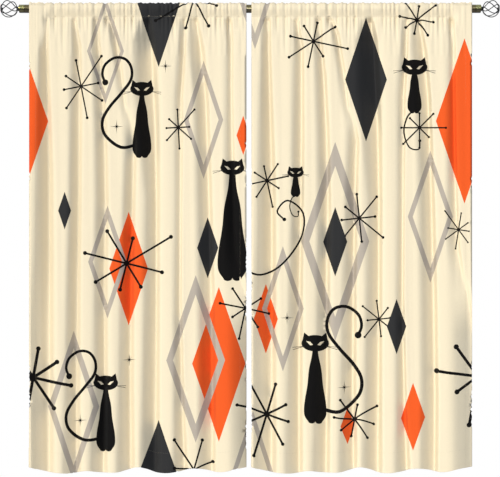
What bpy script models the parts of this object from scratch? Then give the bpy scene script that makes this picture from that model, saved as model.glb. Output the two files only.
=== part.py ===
"""A pair of rod-pocket curtain panels on an extending rod, held by two wall brackets.

Metres, +Z up. The wall is the plane y = 0 and the room lies towards -Y. The origin is on the
wall, level with the rod and midway between the brackets. Each panel is cut into upright fold
sections that stack behind one another when the panel is drawn open. A stretch of the rod pocket
carries each fold section along the rod.
"""

import math

import bmesh
import bpy

# Clearance between pieces that touch or slide
GAP = 0.0003

# Rod
ROD_PROJECTION = 0.090
ROD_HALF = 0.785
TUBE_R = 0.014
TUBE_WALL = 0.001
INNER_WALL = 0.001
BUSH_WALL = 0.0009
FERRULE_LENGTH = 0.019
FERRULE_PLUG = 0.020
LEFT_TUBE_MOUTH_X = 0.050
INNER_SHOWN = 0.060
INNER_IN_LEFT = 0.500
INNER_IN_RIGHT = 0.080
BUSH_LENGTH = 0.020
SLEEVE_LENGTH = 0.030
FLANGE = 0.0015
GLIDE_HEAD = 0.004
GLIDE_PLUG = 0.012

# Finials
CAGE_R = 0.0297
CAGE_WIRE_R = 0.0015
CAGE_WIRES = 6
CAGE_TWIST = math.radians(120)
CAGE_STEPS = 16
CAGE_HUB_R = 0.0055
CAGE_HUB_LENGTH = 0.0035
CAGE_BEAD_R = 0.005
CAGE_POLE_R = 0.0036
COLLAR_R = 0.008
COLLAR_LENGTH = 0.005
COLLAR_SOCKET = 0.0035
STUD_R = 0.003
STUD_IN_FERRULE = 0.012
STUD_HOLE_SPARE = 0.002

# Brackets
CRADLE_INSET = 0.010
CRADLE_WIDTH = 0.012
CRADLE_WALL = 0.003
CRADLE_LIP = 0.003
CRADLE_BACK = 0.013
ARM_R = 0.004
ARM_Z = 0.0065
PLATE_WIDTH = 0.032
PLATE_HEIGHT = 0.054
PLATE_BELOW_ARM = 0.006
PLATE_DEPTH = 0.004
PLATE_CORNER_R = 0.006
PLATE_HOLE_R = 0.0025
PLATE_HOLE_SPACING = 0.036
PLATE_SINK_R = 0.0045
CLAMP_R = 0.002
CLAMP_SHOWN = 0.003
CLAMP_TRAVEL = 0.0028
ROD_LIFT = 0.020
KNOB_R = 0.0055
KNOB_LENGTH = 0.006
KNOB_EDGE = 0.0008

# Panels
DROP = 1.580
BARE_ROD = 0.011
LEADING_EDGE_X = {"left": -0.012, "right": 0.005}
HEM_WIDTH = 0.030
HEM_DEPTH = 0.006
HEADER_RISE = 0.005
POCKET_CLEARANCE = 0.001
POCKET_CLOTH = 0.0035
POCKET_SLACK = 0.014
FOLDS = 6
FOLD_KEEP = 0.36
FOLD_LAYERS = 3
LOOP_SPACE = 0.003
SHEET_EDGE = 0.0015
SHEET_CROWN = 0.007
SHEET_LAYER_GAP = 0.003
SHEET_STEPS = 8
SHEET_CLEARANCE = 0.0005
TAB_DEPTH = 0.0025
TAB_WIDTH = 0.026

# Facets
ROUND_SIDES = 32
SMALL_SIDES = 16
BEAD_STEPS = 8
CORNER_STEPS = 4
CRADLE_STEPS = 16
SHARP_EDGE = math.radians(40)

# Sizes that follow from the ones above
BORE_R = TUBE_R - TUBE_WALL - GAP
INNER_R = BORE_R - BUSH_WALL - GAP
FERRULE_FOOT_X = ROD_HALF - FERRULE_LENGTH
RIGHT_TUBE_MOUTH_X = LEFT_TUBE_MOUTH_X + INNER_SHOWN
CRADLE_R = TUBE_R + GAP
CRADLE_OUTER_R = CRADLE_R + CRADLE_WALL
PANEL_EDGE_X = FERRULE_FOOT_X - BARE_ROD
ANCHOR_X = PANEL_EDGE_X - HEM_WIDTH
BRACKET_X = PANEL_EDGE_X - CRADLE_INSET - CRADLE_WIDTH / 2
PLATE_Z = ARM_Z - PLATE_BELOW_ARM
POCKET_R = TUBE_R + POCKET_CLEARANCE
POCKET_HALF = POCKET_R + POCKET_CLOTH
HEADER_Z = TUBE_R + HEADER_RISE
CLAMP_FOOT_Z = -(CRADLE_OUTER_R + CLAMP_SHOWN)
KNOB_FOOT_Z = CLAMP_FOOT_Z - GAP - KNOB_LENGTH
POCKET_FOOT_Z = -(TUBE_R + POCKET_SLACK)
SHEET_TOP_Z = KNOB_FOOT_Z - CLAMP_TRAVEL - ROD_LIFT - SHEET_CLEARANCE
LAYER_PITCH = SHEET_CROWN + SHEET_EDGE + SHEET_LAYER_GAP
ROD_AXIS = (0.0, -ROD_PROJECTION, 0.0)
OUTWARD = {"left": -1, "right": 1}


def clear_scene():
    """Remove every object that is already in the scene."""
    for obj in list(bpy.data.objects):
        bpy.data.objects.remove(obj, do_unlink=True)


def finish(name, colour, metallic, roughness):
    """A plain Principled material."""
    material = bpy.data.materials.new(name)
    material.use_nodes = True
    shader = material.node_tree.nodes["Principled BSDF"]
    shader.inputs["Base Color"].default_value = (*colour, 1.0)
    shader.inputs["Metallic"].default_value = metallic
    shader.inputs["Roughness"].default_value = roughness
    material.diffuse_color = (*colour, 1.0)
    return material


def add_object(name, bm, material, location=(0.0, 0.0, 0.0)):
    """Turn a bmesh into an object of its own, with its faces pointing out."""
    bmesh.ops.recalc_face_normals(bm, faces=bm.faces)
    mesh = bpy.data.meshes.new(name)
    bm.to_mesh(mesh)
    bm.free()
    mesh.materials.append(material)
    obj = bpy.data.objects.new(name, mesh)
    obj.location = location
    bpy.context.scene.collection.objects.link(obj)
    return obj


def shade_round(obj):
    """Smooth shading that keeps the real edges sharp."""
    obj.data.shade_smooth()
    obj.data.set_sharp_from_angle(angle=SHARP_EDGE)


def prism(outline, axis, low, high):
    """A bmesh of the outline, given in the two other axes, pushed along axis from low to high."""

    def place(first, second, along):
        point = [first, second]
        point.insert(axis, along)
        return point

    bm = bmesh.new()
    face = bm.faces.new([bm.verts.new(place(a, b, low)) for a, b in outline])
    grown = bmesh.ops.extrude_face_region(bm, geom=[face])["geom"]
    moved = [part for part in grown if isinstance(part, bmesh.types.BMVert)]
    bmesh.ops.translate(bm, verts=moved, vec=place(0.0, 0.0, high - low))
    return bm


def turned(profile, axis="X", sides=ROUND_SIDES, closed=False):
    """A bmesh spun about axis from points (along, radius). A closed profile makes a ring."""
    bm = bmesh.new()
    points = [(a, 0.0, r) if axis == "X" else (r, 0.0, a) for a, r in profile]
    verts = [bm.verts.new(p) for p in points]
    follow = verts[1:] + verts[:1] if closed else verts[1:]
    edges = [bm.edges.new(pair) for pair in zip(verts, follow)]
    about = (1.0, 0.0, 0.0) if axis == "X" else (0.0, 0.0, 1.0)
    bmesh.ops.spin(
        bm, geom=verts + edges, cent=(0.0, 0.0, 0.0), axis=about,
        angle=2 * math.pi, steps=sides, use_merge=True,
    )
    bmesh.ops.remove_doubles(bm, verts=bm.verts, dist=1e-6)
    return bm


def tube_profile(low, high, inner, outer):
    """The closed profile of a plain tube."""
    return [(low, inner), (low, outer), (high, outer), (high, inner)]


def combine(obj, tool, operation):
    """Join the tool to the object, or cut it away, and remove the tool."""
    modifier = obj.modifiers.new(tool.name, "BOOLEAN")
    modifier.operation = operation
    modifier.solver = "EXACT"
    modifier.object = tool
    bpy.context.view_layer.update()
    graph = bpy.context.evaluated_depsgraph_get()
    mesh = bpy.data.meshes.new_from_object(obj.evaluated_get(graph))
    obj.modifiers.clear()
    obj.data = mesh
    bpy.data.objects.remove(tool, do_unlink=True)
    return obj


def mirrored(points, side):
    """Points (x, ...) drawn for the right end, carried to the end that side names."""
    return [(OUTWARD[side] * p[0], *p[1:]) for p in points]


def add_tubes(steel):
    """The two outer tubes and the inner tube that joins them."""
    left = tube_profile(-(FERRULE_FOOT_X - GAP), LEFT_TUBE_MOUTH_X, TUBE_R - TUBE_WALL, TUBE_R)
    right = tube_profile(RIGHT_TUBE_MOUTH_X, FERRULE_FOOT_X - GAP, TUBE_R - TUBE_WALL, TUBE_R)
    inner = tube_profile(
        LEFT_TUBE_MOUTH_X - INNER_IN_LEFT, RIGHT_TUBE_MOUTH_X + INNER_IN_RIGHT,
        INNER_R - INNER_WALL, INNER_R,
    )
    for name, profile in (("left_tube", left), ("right_tube", right), ("inner_tube", inner)):
        shade_round(add_object(name, turned(profile, closed=True), steel, ROD_AXIS))


def add_tube_fittings(plastic):
    """The bush and the sleeve at the two mouths, and the glide on the inner tube's hidden end."""
    bore = INNER_R + GAP
    mouth = LEFT_TUBE_MOUTH_X
    bush = [
        (mouth - BUSH_LENGTH, bore), (mouth - BUSH_LENGTH, BORE_R), (mouth + GAP, BORE_R),
        (mouth + GAP, TUBE_R), (mouth + GAP + FLANGE, TUBE_R), (mouth + GAP + FLANGE, bore),
    ]
    mouth = RIGHT_TUBE_MOUTH_X
    sleeve = [
        (mouth + SLEEVE_LENGTH, bore), (mouth + SLEEVE_LENGTH, BORE_R), (mouth - GAP, BORE_R),
        (mouth - GAP, TUBE_R), (mouth - GAP - FLANGE, TUBE_R), (mouth - GAP - FLANGE, bore),
    ]
    end = LEFT_TUBE_MOUTH_X - INNER_IN_LEFT
    plug_r = INNER_R - INNER_WALL - GAP
    glide = [
        (end - GAP - GLIDE_HEAD, 0.0), (end - GAP - GLIDE_HEAD, BORE_R), (end - GAP, BORE_R),
        (end - GAP, plug_r), (end + GLIDE_PLUG, plug_r), (end + GLIDE_PLUG, 0.0),
    ]
    shade_round(add_object("telescope_bush", turned(bush, closed=True), plastic, ROD_AXIS))
    shade_round(add_object("joining_sleeve", turned(sleeve, closed=True), plastic, ROD_AXIS))
    shade_round(add_object("glide_plug", turned(glide), plastic, ROD_AXIS))


def add_ferrule(side, brass):
    """The end cap: a rim as wide as the tube, a plug in its bore and a blind hole for the stud."""
    hole_r = STUD_R + GAP
    hole_foot = ROD_HALF - STUD_IN_FERRULE - STUD_HOLE_SPARE
    profile = [
        (hole_foot, 0.0), (hole_foot, hole_r), (ROD_HALF, hole_r), (ROD_HALF, TUBE_R),
        (FERRULE_FOOT_X, TUBE_R), (FERRULE_FOOT_X, BORE_R),
        (FERRULE_FOOT_X - FERRULE_PLUG, BORE_R), (FERRULE_FOOT_X - FERRULE_PLUG, 0.0),
    ]
    name = f"{side}_ferrule"
    shade_round(add_object(name, turned(mirrored(profile, side)), brass, ROD_AXIS))


def add_stud_and_collar(side, steel, black):
    """The threaded stud between ferrule and collar, and the collar that carries the cage."""
    socket_r = STUD_R + GAP
    collar_foot = ROD_HALF + GAP
    collar = [
        (collar_foot + COLLAR_SOCKET, 0.0), (collar_foot + COLLAR_SOCKET, socket_r),
        (collar_foot, socket_r), (collar_foot, COLLAR_R),
        (collar_foot + COLLAR_LENGTH, COLLAR_R), (collar_foot + COLLAR_LENGTH, 0.0),
    ]
    stud_end = collar_foot + COLLAR_SOCKET - GAP
    stud = [
        (ROD_HALF - STUD_IN_FERRULE, 0.0), (ROD_HALF - STUD_IN_FERRULE, STUD_R),
        (stud_end, STUD_R), (stud_end, 0.0),
    ]
    parts = ((f"{side}_finial_stud", stud, steel), (f"{side}_finial_collar", collar, black))
    for name, profile, material in parts:
        bm = turned(mirrored(profile, side), sides=SMALL_SIDES)
        shade_round(add_object(name, bm, material, ROD_AXIS))


def cage_wire(name, turn, neck_x, side, black):
    """One bent wire that winds from the neck to the tip on the surface of the ball."""
    centre_r = CAGE_R - CAGE_WIRE_R
    start = math.asin(CAGE_POLE_R / centre_r)
    curve = bpy.data.curves.new(name, "CURVE")
    curve.dimensions = "3D"
    curve.bevel_depth = CAGE_WIRE_R
    curve.bevel_resolution = 1
    curve.use_fill_caps = True
    spline = curve.splines.new("POLY")
    spline.points.add(CAGE_STEPS)
    for step, point in enumerate(spline.points):
        share = step / CAGE_STEPS
        polar = start + (math.pi - 2 * start) * share
        around = turn + CAGE_TWIST * share
        along = neck_x + CAGE_R - centre_r * math.cos(polar)
        reach = centre_r * math.sin(polar)
        x, y, z = OUTWARD[side] * along, -reach * math.cos(around), reach * math.sin(around)
        point.co = (x, y, z, 1.0)
    wire = bpy.data.objects.new(name, curve)
    bpy.context.scene.collection.objects.link(wire)
    bpy.context.view_layer.update()
    graph = bpy.context.evaluated_depsgraph_get()
    bm = bmesh.new()
    bm.from_mesh(bpy.data.meshes.new_from_object(wire.evaluated_get(graph)))
    bpy.data.objects.remove(wire, do_unlink=True)
    bmesh.ops.remove_doubles(bm, verts=bm.verts, dist=1e-6)
    return add_object(name, bm, black, ROD_AXIS)


def add_cage(side, black):
    """The open ball of twisted wires, welded to a hub at its neck and a bead at its tip."""
    neck = ROD_HALF + GAP + COLLAR_LENGTH + GAP
    hub = [
        (neck, 0.0), (neck, CAGE_HUB_R),
        (neck + CAGE_HUB_LENGTH, CAGE_HUB_R), (neck + CAGE_HUB_LENGTH, 0.0),
    ]
    tip = neck + 2 * CAGE_R - CAGE_BEAD_R
    rise = [math.pi * n / BEAD_STEPS for n in range(BEAD_STEPS + 1)]
    bead = [(tip - CAGE_BEAD_R * math.cos(a), CAGE_BEAD_R * math.sin(a)) for a in rise]
    bead[0] = (bead[0][0], 0.0)
    bead[-1] = (bead[-1][0], 0.0)
    bm = turned(mirrored(hub, side), sides=SMALL_SIDES)
    cage = add_object(f"{side}_finial_cage", bm, black, ROD_AXIS)
    for number in range(CAGE_WIRES):
        turn = 2 * math.pi * number / CAGE_WIRES
        combine(cage, cage_wire(f"{side}_wire_{number}", turn, neck, side, black), "UNION")
    bm = turned(mirrored(bead, side), sides=SMALL_SIDES)
    combine(cage, add_object(f"{side}_bead", bm, black, ROD_AXIS), "UNION")
    shade_round(cage)


def add_wall_plate(side, steel):
    """The plate on the wall, with round corners and two countersunk screw holes."""
    half_x, half_z = PLATE_WIDTH / 2, PLATE_HEIGHT / 2
    corners = ((1, 1), (-1, 1), (-1, -1), (1, -1))
    outline = []
    for quarter, (sign_x, sign_z) in enumerate(corners):
        for step in range(CORNER_STEPS + 1):
            angle = math.pi / 2 * (quarter + step / CORNER_STEPS)
            outline.append((
                sign_x * (half_x - PLATE_CORNER_R) + PLATE_CORNER_R * math.cos(angle),
                sign_z * (half_z - PLATE_CORNER_R) + PLATE_CORNER_R * math.sin(angle),
            ))
    place = (OUTWARD[side] * BRACKET_X, 0.0, PLATE_Z)
    bm = prism(outline, 1, -PLATE_DEPTH, 0.0)
    plate = add_object(f"{side}_wall_plate", bm, steel, place)
    past = PLATE_DEPTH
    sink = PLATE_SINK_R - PLATE_HOLE_R
    for sign in (-1, 1):
        profile = [
            (past, 0.0), (past, PLATE_HOLE_R), (-PLATE_DEPTH + sink, PLATE_HOLE_R),
            (-PLATE_DEPTH, PLATE_SINK_R), (-PLATE_DEPTH - past, PLATE_SINK_R),
            (-PLATE_DEPTH - past, 0.0),
        ]
        bm = turned(profile, sides=SMALL_SIDES)
        cutter = add_object(f"{side}_screw_hole", bm, steel)
        cutter.rotation_euler = (0.0, 0.0, math.pi / 2)
        cutter.location = (place[0], 0.0, PLATE_Z + sign * PLATE_HOLE_SPACING / 2)
        combine(plate, cutter, "DIFFERENCE")


def add_arm(side, steel):
    """The round arm from the wall plate to the back of the cradle."""
    near = ROD_PROJECTION - CRADLE_OUTER_R - GAP
    profile = [
        (-near, 0.0), (-near, ARM_R), (-PLATE_DEPTH - GAP, ARM_R), (-PLATE_DEPTH - GAP, 0.0),
    ]
    arm = add_object(f"{side}_bracket_arm", turned(profile, sides=SMALL_SIDES), steel)
    arm.rotation_euler = (0.0, 0.0, math.pi / 2)
    arm.location = (OUTWARD[side] * BRACKET_X, 0.0, ARM_Z)
    shade_round(arm)


def add_cradle(side, steel):
    """The open U that the rod rests in, tall at the back and with a low lip at the front."""
    turns = [math.pi * n / CRADLE_STEPS for n in range(CRADLE_STEPS + 1)]
    outer = [(-CRADLE_OUTER_R * math.cos(a), -CRADLE_OUTER_R * math.sin(a)) for a in turns]
    inner = [(CRADLE_R * math.cos(a), -CRADLE_R * math.sin(a)) for a in turns]
    outline = [(-CRADLE_OUTER_R, CRADLE_LIP), *outer, (CRADLE_OUTER_R, CRADLE_BACK)]
    outline += [(CRADLE_R, CRADLE_BACK), *inner, (-CRADLE_R, CRADLE_LIP)]
    place = (OUTWARD[side] * BRACKET_X, -ROD_PROJECTION, 0.0)
    bm = prism(outline, 0, -CRADLE_WIDTH / 2, CRADLE_WIDTH / 2)
    cradle = add_object(f"{side}_rod_cradle", bm, steel, place)
    hole_r = CLAMP_R + GAP
    far = -2 * CRADLE_OUTER_R
    profile = [(far, 0.0), (far, hole_r), (-CRADLE_R / 2, hole_r), (-CRADLE_R / 2, 0.0)]
    bm = turned(profile, axis="Z", sides=SMALL_SIDES)
    combine(cradle, add_object(f"{side}_clamp_hole", bm, steel, place), "DIFFERENCE")
    shade_round(cradle)


def add_clamp(side, steel):
    """The screw under the cradle that holds the rod, and its knob."""
    place = (OUTWARD[side] * BRACKET_X, -ROD_PROJECTION, 0.0)
    shank = [
        (-CRADLE_R, 0.0), (-CRADLE_R, CLAMP_R), (CLAMP_FOOT_Z, CLAMP_R), (CLAMP_FOOT_Z, 0.0),
    ]
    top = CLAMP_FOOT_Z - GAP
    knob = [
        (top, 0.0), (top, KNOB_R - KNOB_EDGE), (top - KNOB_EDGE, KNOB_R),
        (KNOB_FOOT_Z + KNOB_EDGE, KNOB_R), (KNOB_FOOT_Z, KNOB_R - KNOB_EDGE), (KNOB_FOOT_Z, 0.0),
    ]
    for name, profile in ((f"{side}_clamp_screw", shank), (f"{side}_clamp_knob", knob)):
        bm = turned(profile, axis="Z", sides=SMALL_SIDES)
        shade_round(add_object(name, bm, steel, place))


def add_outer_hem(side, cloth):
    """The panel's outer edge, which stays in front of the cradle when the panel is drawn."""
    low, high = sorted((PANEL_EDGE_X, ANCHOR_X + GAP))
    ends = sorted((OUTWARD[side] * low, OUTWARD[side] * high))
    face = -ROD_PROJECTION - POCKET_HALF
    outline = [(face - HEM_DEPTH, -DROP), (face, -DROP), (face, HEADER_Z), (face - HEM_DEPTH, HEADER_Z)]
    add_object(f"{side}_outer_hem", prism(outline, 0, *ends), cloth)


def fold_place(side, number):
    """Width of a fold section, its middle on the rod's axis, and the front of its layer."""
    anchor = OUTWARD[side] * ANCHOR_X
    pitch = abs(LEADING_EDGE_X[side] - anchor) / FOLDS
    middle = (anchor - OUTWARD[side] * pitch * (number + 0.5), -ROD_PROJECTION, 0.0)
    layer = (number + 1) % FOLD_LAYERS
    return pitch, middle, -POCKET_HALF + SHEET_CLEARANCE + layer * LAYER_PITCH


def add_fold(side, number, cloth):
    """One fold section: an upright strip, crowned towards the room and flat behind."""
    pitch, middle, front = fold_place(side, number)
    shares = [2 * step / SHEET_STEPS - 1 for step in range(SHEET_STEPS + 1)]
    outline = [(share * pitch / 2, front + SHEET_CROWN * share**2) for share in shares]
    back = front + SHEET_CROWN + SHEET_EDGE
    outline += [(pitch / 2, back), (-pitch / 2, back)]
    add_object(f"{side}_fold_{number + 1}", prism(outline, 2, -DROP, SHEET_TOP_Z), cloth, middle)


def add_pocket(side, number, cloth):
    """The stretch of rod pocket that carries a fold section, with the neck of cloth between them."""
    pitch, middle, front = fold_place(side, number)
    name = f"{side}_pocket_{number + 1}"
    half = (FOLD_KEEP * pitch - LOOP_SPACE) / 2
    block = [
        (-POCKET_HALF, POCKET_FOOT_Z), (POCKET_HALF, POCKET_FOOT_Z),
        (POCKET_HALF, HEADER_Z), (-POCKET_HALF, HEADER_Z),
    ]
    pocket = add_object(name, prism(block, 0, -half, half), cloth, middle)
    bore = turned([(-2 * half, 0.0), (-2 * half, POCKET_R), (2 * half, POCKET_R), (2 * half, 0.0)])
    combine(pocket, add_object(f"{name}_bore", bore, cloth, middle), "DIFFERENCE")
    back = front + SHEET_CROWN + SHEET_EDGE
    foot, top = SHEET_TOP_Z + GAP, -TUBE_R - POCKET_SLACK / 2
    neck = [(back - TAB_DEPTH, foot), (back, foot), (back, top), (back - TAB_DEPTH, top)]
    neck = prism(neck, 0, -TAB_WIDTH / 2, TAB_WIDTH / 2)
    combine(pocket, add_object(f"{name}_neck", neck, cloth, middle), "UNION")


def main():
    """Build the whole curtain set."""
    clear_scene()
    brass = finish("aged_brass", (0.45, 0.36, 0.17), 1.0, 0.28)
    steel = finish("brushed_steel", (0.55, 0.55, 0.56), 1.0, 0.35)
    black = finish("black_wire", (0.012, 0.012, 0.013), 0.6, 0.45)
    plastic = finish("glide_plastic", (0.75, 0.74, 0.70), 0.0, 0.45)
    cloth = finish("cream_cloth", (0.93, 0.84, 0.66), 0.0, 0.85)
    add_tubes(brass)
    add_tube_fittings(plastic)
    for side in ("left", "right"):
        add_ferrule(side, brass)
        add_stud_and_collar(side, steel, black)
        add_cage(side, black)
        add_wall_plate(side, brass)
        add_arm(side, brass)
        add_cradle(side, brass)
        add_clamp(side, steel)
        add_outer_hem(side, cloth)
        for number in range(FOLDS):
            add_pocket(side, number, cloth)
            add_fold(side, number, cloth)


main()
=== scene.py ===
"""Looks of a pair of printed rod-pocket curtain panels on an extending brass rod.

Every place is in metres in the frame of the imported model: +X along the rod, -Y into the room,
+Z up, the rod's axis at z = 0 and the wall at y = 0. The print's motifs are given in
millimetres in the same frame, as they lie on the drawn-out front of the two panels.
"""

import logging
import math
from collections.abc import Iterable, Sequence
from dataclasses import dataclass, field
from enum import Enum, IntEnum
from typing import Any

import bmesh
import bpy
import numpy as np
from mathutils import Matrix, Vector
from mathutils.geometry import delaunay_2d_cdt
from mathutils.kdtree import KDTree


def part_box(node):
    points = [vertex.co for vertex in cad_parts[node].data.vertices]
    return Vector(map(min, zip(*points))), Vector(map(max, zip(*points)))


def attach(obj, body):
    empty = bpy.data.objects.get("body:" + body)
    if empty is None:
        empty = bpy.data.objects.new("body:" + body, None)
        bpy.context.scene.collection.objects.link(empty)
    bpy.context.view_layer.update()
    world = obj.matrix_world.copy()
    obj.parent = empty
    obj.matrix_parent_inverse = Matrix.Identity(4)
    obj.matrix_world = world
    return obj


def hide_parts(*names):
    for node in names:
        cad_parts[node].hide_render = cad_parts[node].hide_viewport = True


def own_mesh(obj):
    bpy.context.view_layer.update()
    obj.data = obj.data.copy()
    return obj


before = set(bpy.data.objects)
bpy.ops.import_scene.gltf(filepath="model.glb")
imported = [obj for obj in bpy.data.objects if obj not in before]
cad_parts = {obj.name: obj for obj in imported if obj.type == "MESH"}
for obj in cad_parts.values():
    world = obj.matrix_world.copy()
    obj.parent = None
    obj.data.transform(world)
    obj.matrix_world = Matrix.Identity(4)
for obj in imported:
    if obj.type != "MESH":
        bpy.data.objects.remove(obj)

MM = 0.001
TAU = 2 * math.pi
VIEW_DISTANCE = 3.3
VIEW_HEIGHT = -0.782
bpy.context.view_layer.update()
log = logging.getLogger("curtains")

Array = np.ndarray
Colour = tuple[float, float, float]


class Side(Enum):
    """The end of the rod that a piece belongs to."""

    LEFT = "left"
    RIGHT = "right"

    @property
    def out(self) -> int:
        """Sign of X from the middle of the rod towards this end."""
        return -1 if self is Side.LEFT else 1


def ease(low: float, high: float, value: Array) -> Array:
    """Rise smoothly from 0 at low to 1 at high.

    Args:
        low: Where the rise starts.
        high: Where it ends, which may be below low.
        value: Where to read it.

    Returns:
        The rise at each value, from 0 to 1.
    """
    share = np.clip((np.asarray(value, float) - low) / (high - low), 0.0, 1.0)
    return share * share * (3 - 2 * share)


def node_middle(name: str) -> Vector:
    """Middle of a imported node's box."""
    low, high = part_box(name)
    return (low + high) / 2


@dataclass
class EndPiece:
    """Something at one end of the rod, which takes its place from that end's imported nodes."""

    side: Side

    def node(self, part: str) -> str:
        """Name of this end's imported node."""
        return f"{self.side.value}_{part}"

    def middle(self, part: str) -> Vector:
        """Middle of this end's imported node."""
        return node_middle(self.node(part))

    def face(self, part: str, way: int = 1) -> float:
        """X of a node's outer face, or of its inner one where way is -1."""
        low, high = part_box(self.node(part))
        return high.x if way * self.side.out > 0 else low.x

    def radius(self, part: str) -> float:
        """Half the height of a node, for one that is round about the rod's axis or along Y."""
        low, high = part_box(self.node(part))
        return (high.z - low.z) / 2

    @property
    def outwards(self) -> Vector:
        """The way along the rod to this end."""
        return Vector((self.side.out, 0, 0))


# ---------------------------------------------------------------------------------------------
# Node trees
# ---------------------------------------------------------------------------------------------


@dataclass(frozen=True)
class Value:
    """A number that varies over a surface: one output socket, with Python's arithmetic."""

    tree: "Tree"
    socket: bpy.types.NodeSocket

    def _math(self, operation: str, *values: Any) -> "Value":
        """Add a Math node on these values."""
        made = self.tree.node("ShaderNodeMath", {"operation": operation}, dict(enumerate(values)))
        return Value(self.tree, made.outputs[0])

    def __add__(self, other: Any) -> "Value":
        """Sum."""
        return self._math("ADD", self, other)

    def __sub__(self, other: Any) -> "Value":
        """Difference."""
        return self._math("SUBTRACT", self, other)

    def __rsub__(self, other: Any) -> "Value":
        """Difference from a plain number."""
        return self._math("SUBTRACT", other, self)

    def __mul__(self, other: Any) -> "Value":
        """Product."""
        return self._math("MULTIPLY", self, other)

    def __truediv__(self, other: Any) -> "Value":
        """Quotient."""
        return self._math("DIVIDE", self, other)

    __radd__ = __add__
    __rmul__ = __mul__

    def sine(self) -> "Value":
        """Sine, of an angle in radians."""
        return self._math("SINE", self)

    def clamp(self, low: float, high: float) -> "Value":
        """The value, held between low and high."""
        return self._math("MAXIMUM", self._math("MINIMUM", self, high), low)


class Tree:
    """Adds and links the nodes of one shader or geometry tree."""

    def __init__(self, tree: bpy.types.NodeTree) -> None:
        """Work on this tree."""
        self.tree = tree

    def node(self, kind: str, settings: dict | None = None, values: dict | None = None) -> bpy.types.Node:
        """Add one node.

        Args:
            kind: The node's type.
            settings: Its own properties, set first.
            values: What its sockets hold or are linked to, by the socket's name or number.

        Returns:
            The node.
        """
        made = self.tree.nodes.new(kind)
        for name, setting in (settings or {}).items():
            setattr(made, name, setting)
        for key, value in (values or {}).items():
            if isinstance(value, Value):
                value = value.socket
            if isinstance(value, bpy.types.NodeSocket):
                self.tree.links.new(value, made.inputs[key])
            else:
                made.inputs[key].default_value = value
        return made

    def socket(self, kind: str, settings: dict | None = None, values: dict | None = None,
               output: int | str = 0) -> bpy.types.NodeSocket:
        """Add one node and give one of its outputs."""
        return self.node(kind, settings, values).outputs[output]

    def value(self, kind: str, settings: dict | None = None, values: dict | None = None,
              output: int | str = 0) -> Value:
        """Add one node and give one of its outputs as a value."""
        return Value(self, self.socket(kind, settings, values, output))

    def link(self, source: Value | bpy.types.NodeSocket, target: bpy.types.NodeSocket) -> None:
        """Link a value or an output to an input."""
        self.tree.links.new(source.socket if isinstance(source, Value) else source, target)

    def stretched(self, place: bpy.types.NodeSocket, by: tuple[float, float, float]) -> bpy.types.NodeSocket:
        """A place with each of its parts multiplied."""
        return self.socket("ShaderNodeVectorMath", {"operation": "MULTIPLY"}, {0: place, 1: by})

    def noise(self, place: bpy.types.NodeSocket, scale: float, detail: float = 2.0) -> Value:
        """Noise from 0 to 1."""
        return self.value("ShaderNodeTexNoise", None, {"Vector": place, "Scale": scale, "Detail": detail})

    def bump(self, shader: bpy.types.Node, height: Value, strength: float, distance: float) -> None:
        """Raise a shader's surface by a height."""
        values = {"Height": height, "Strength": strength, "Distance": distance}
        self.link(self.socket("ShaderNodeBump", None, values), shader.inputs["Normal"])

    def mix(self, factor: Any, first: Any, second: Any, blend: str = "MIX") -> bpy.types.NodeSocket:
        """Mix two colours.

        Args:
            factor: The share of the second, a number or a value.
            first: A colour, or the socket of one.
            second: A colour, or the socket of one.
            blend: How the second goes on the first.

        Returns:
            The socket of the mixed colour.
        """
        settings = {"data_type": "RGBA", "blend_type": blend}
        return self.socket("ShaderNodeMix", settings, {0: factor, 6: first, 7: second}, 2)


class Finish:
    """A material that knows how to make itself once, for every piece that wears it."""

    name: str
    made: dict[str, bpy.types.Material] = {}

    def build(self, tree: Tree, shader: bpy.types.Node) -> None:
        """Link what varies over the surface to the shader."""
        raise NotImplementedError

    def constants(self) -> dict[str, Any]:
        """What is the same all over the surface, by the shader's socket."""
        raise NotImplementedError

    def material(self) -> bpy.types.Material:
        """The finish's material, made the first time it is asked for."""
        if self.name not in Finish.made:
            material = bpy.data.materials.new(self.name)
            material.use_nodes = True
            shader = material.node_tree.nodes["Principled BSDF"]
            for socket, value in self.constants().items():
                shader.inputs[socket].default_value = value
            self.build(Tree(material.node_tree), shader)
            Finish.made[self.name] = material
        return Finish.made[self.name]


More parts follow.
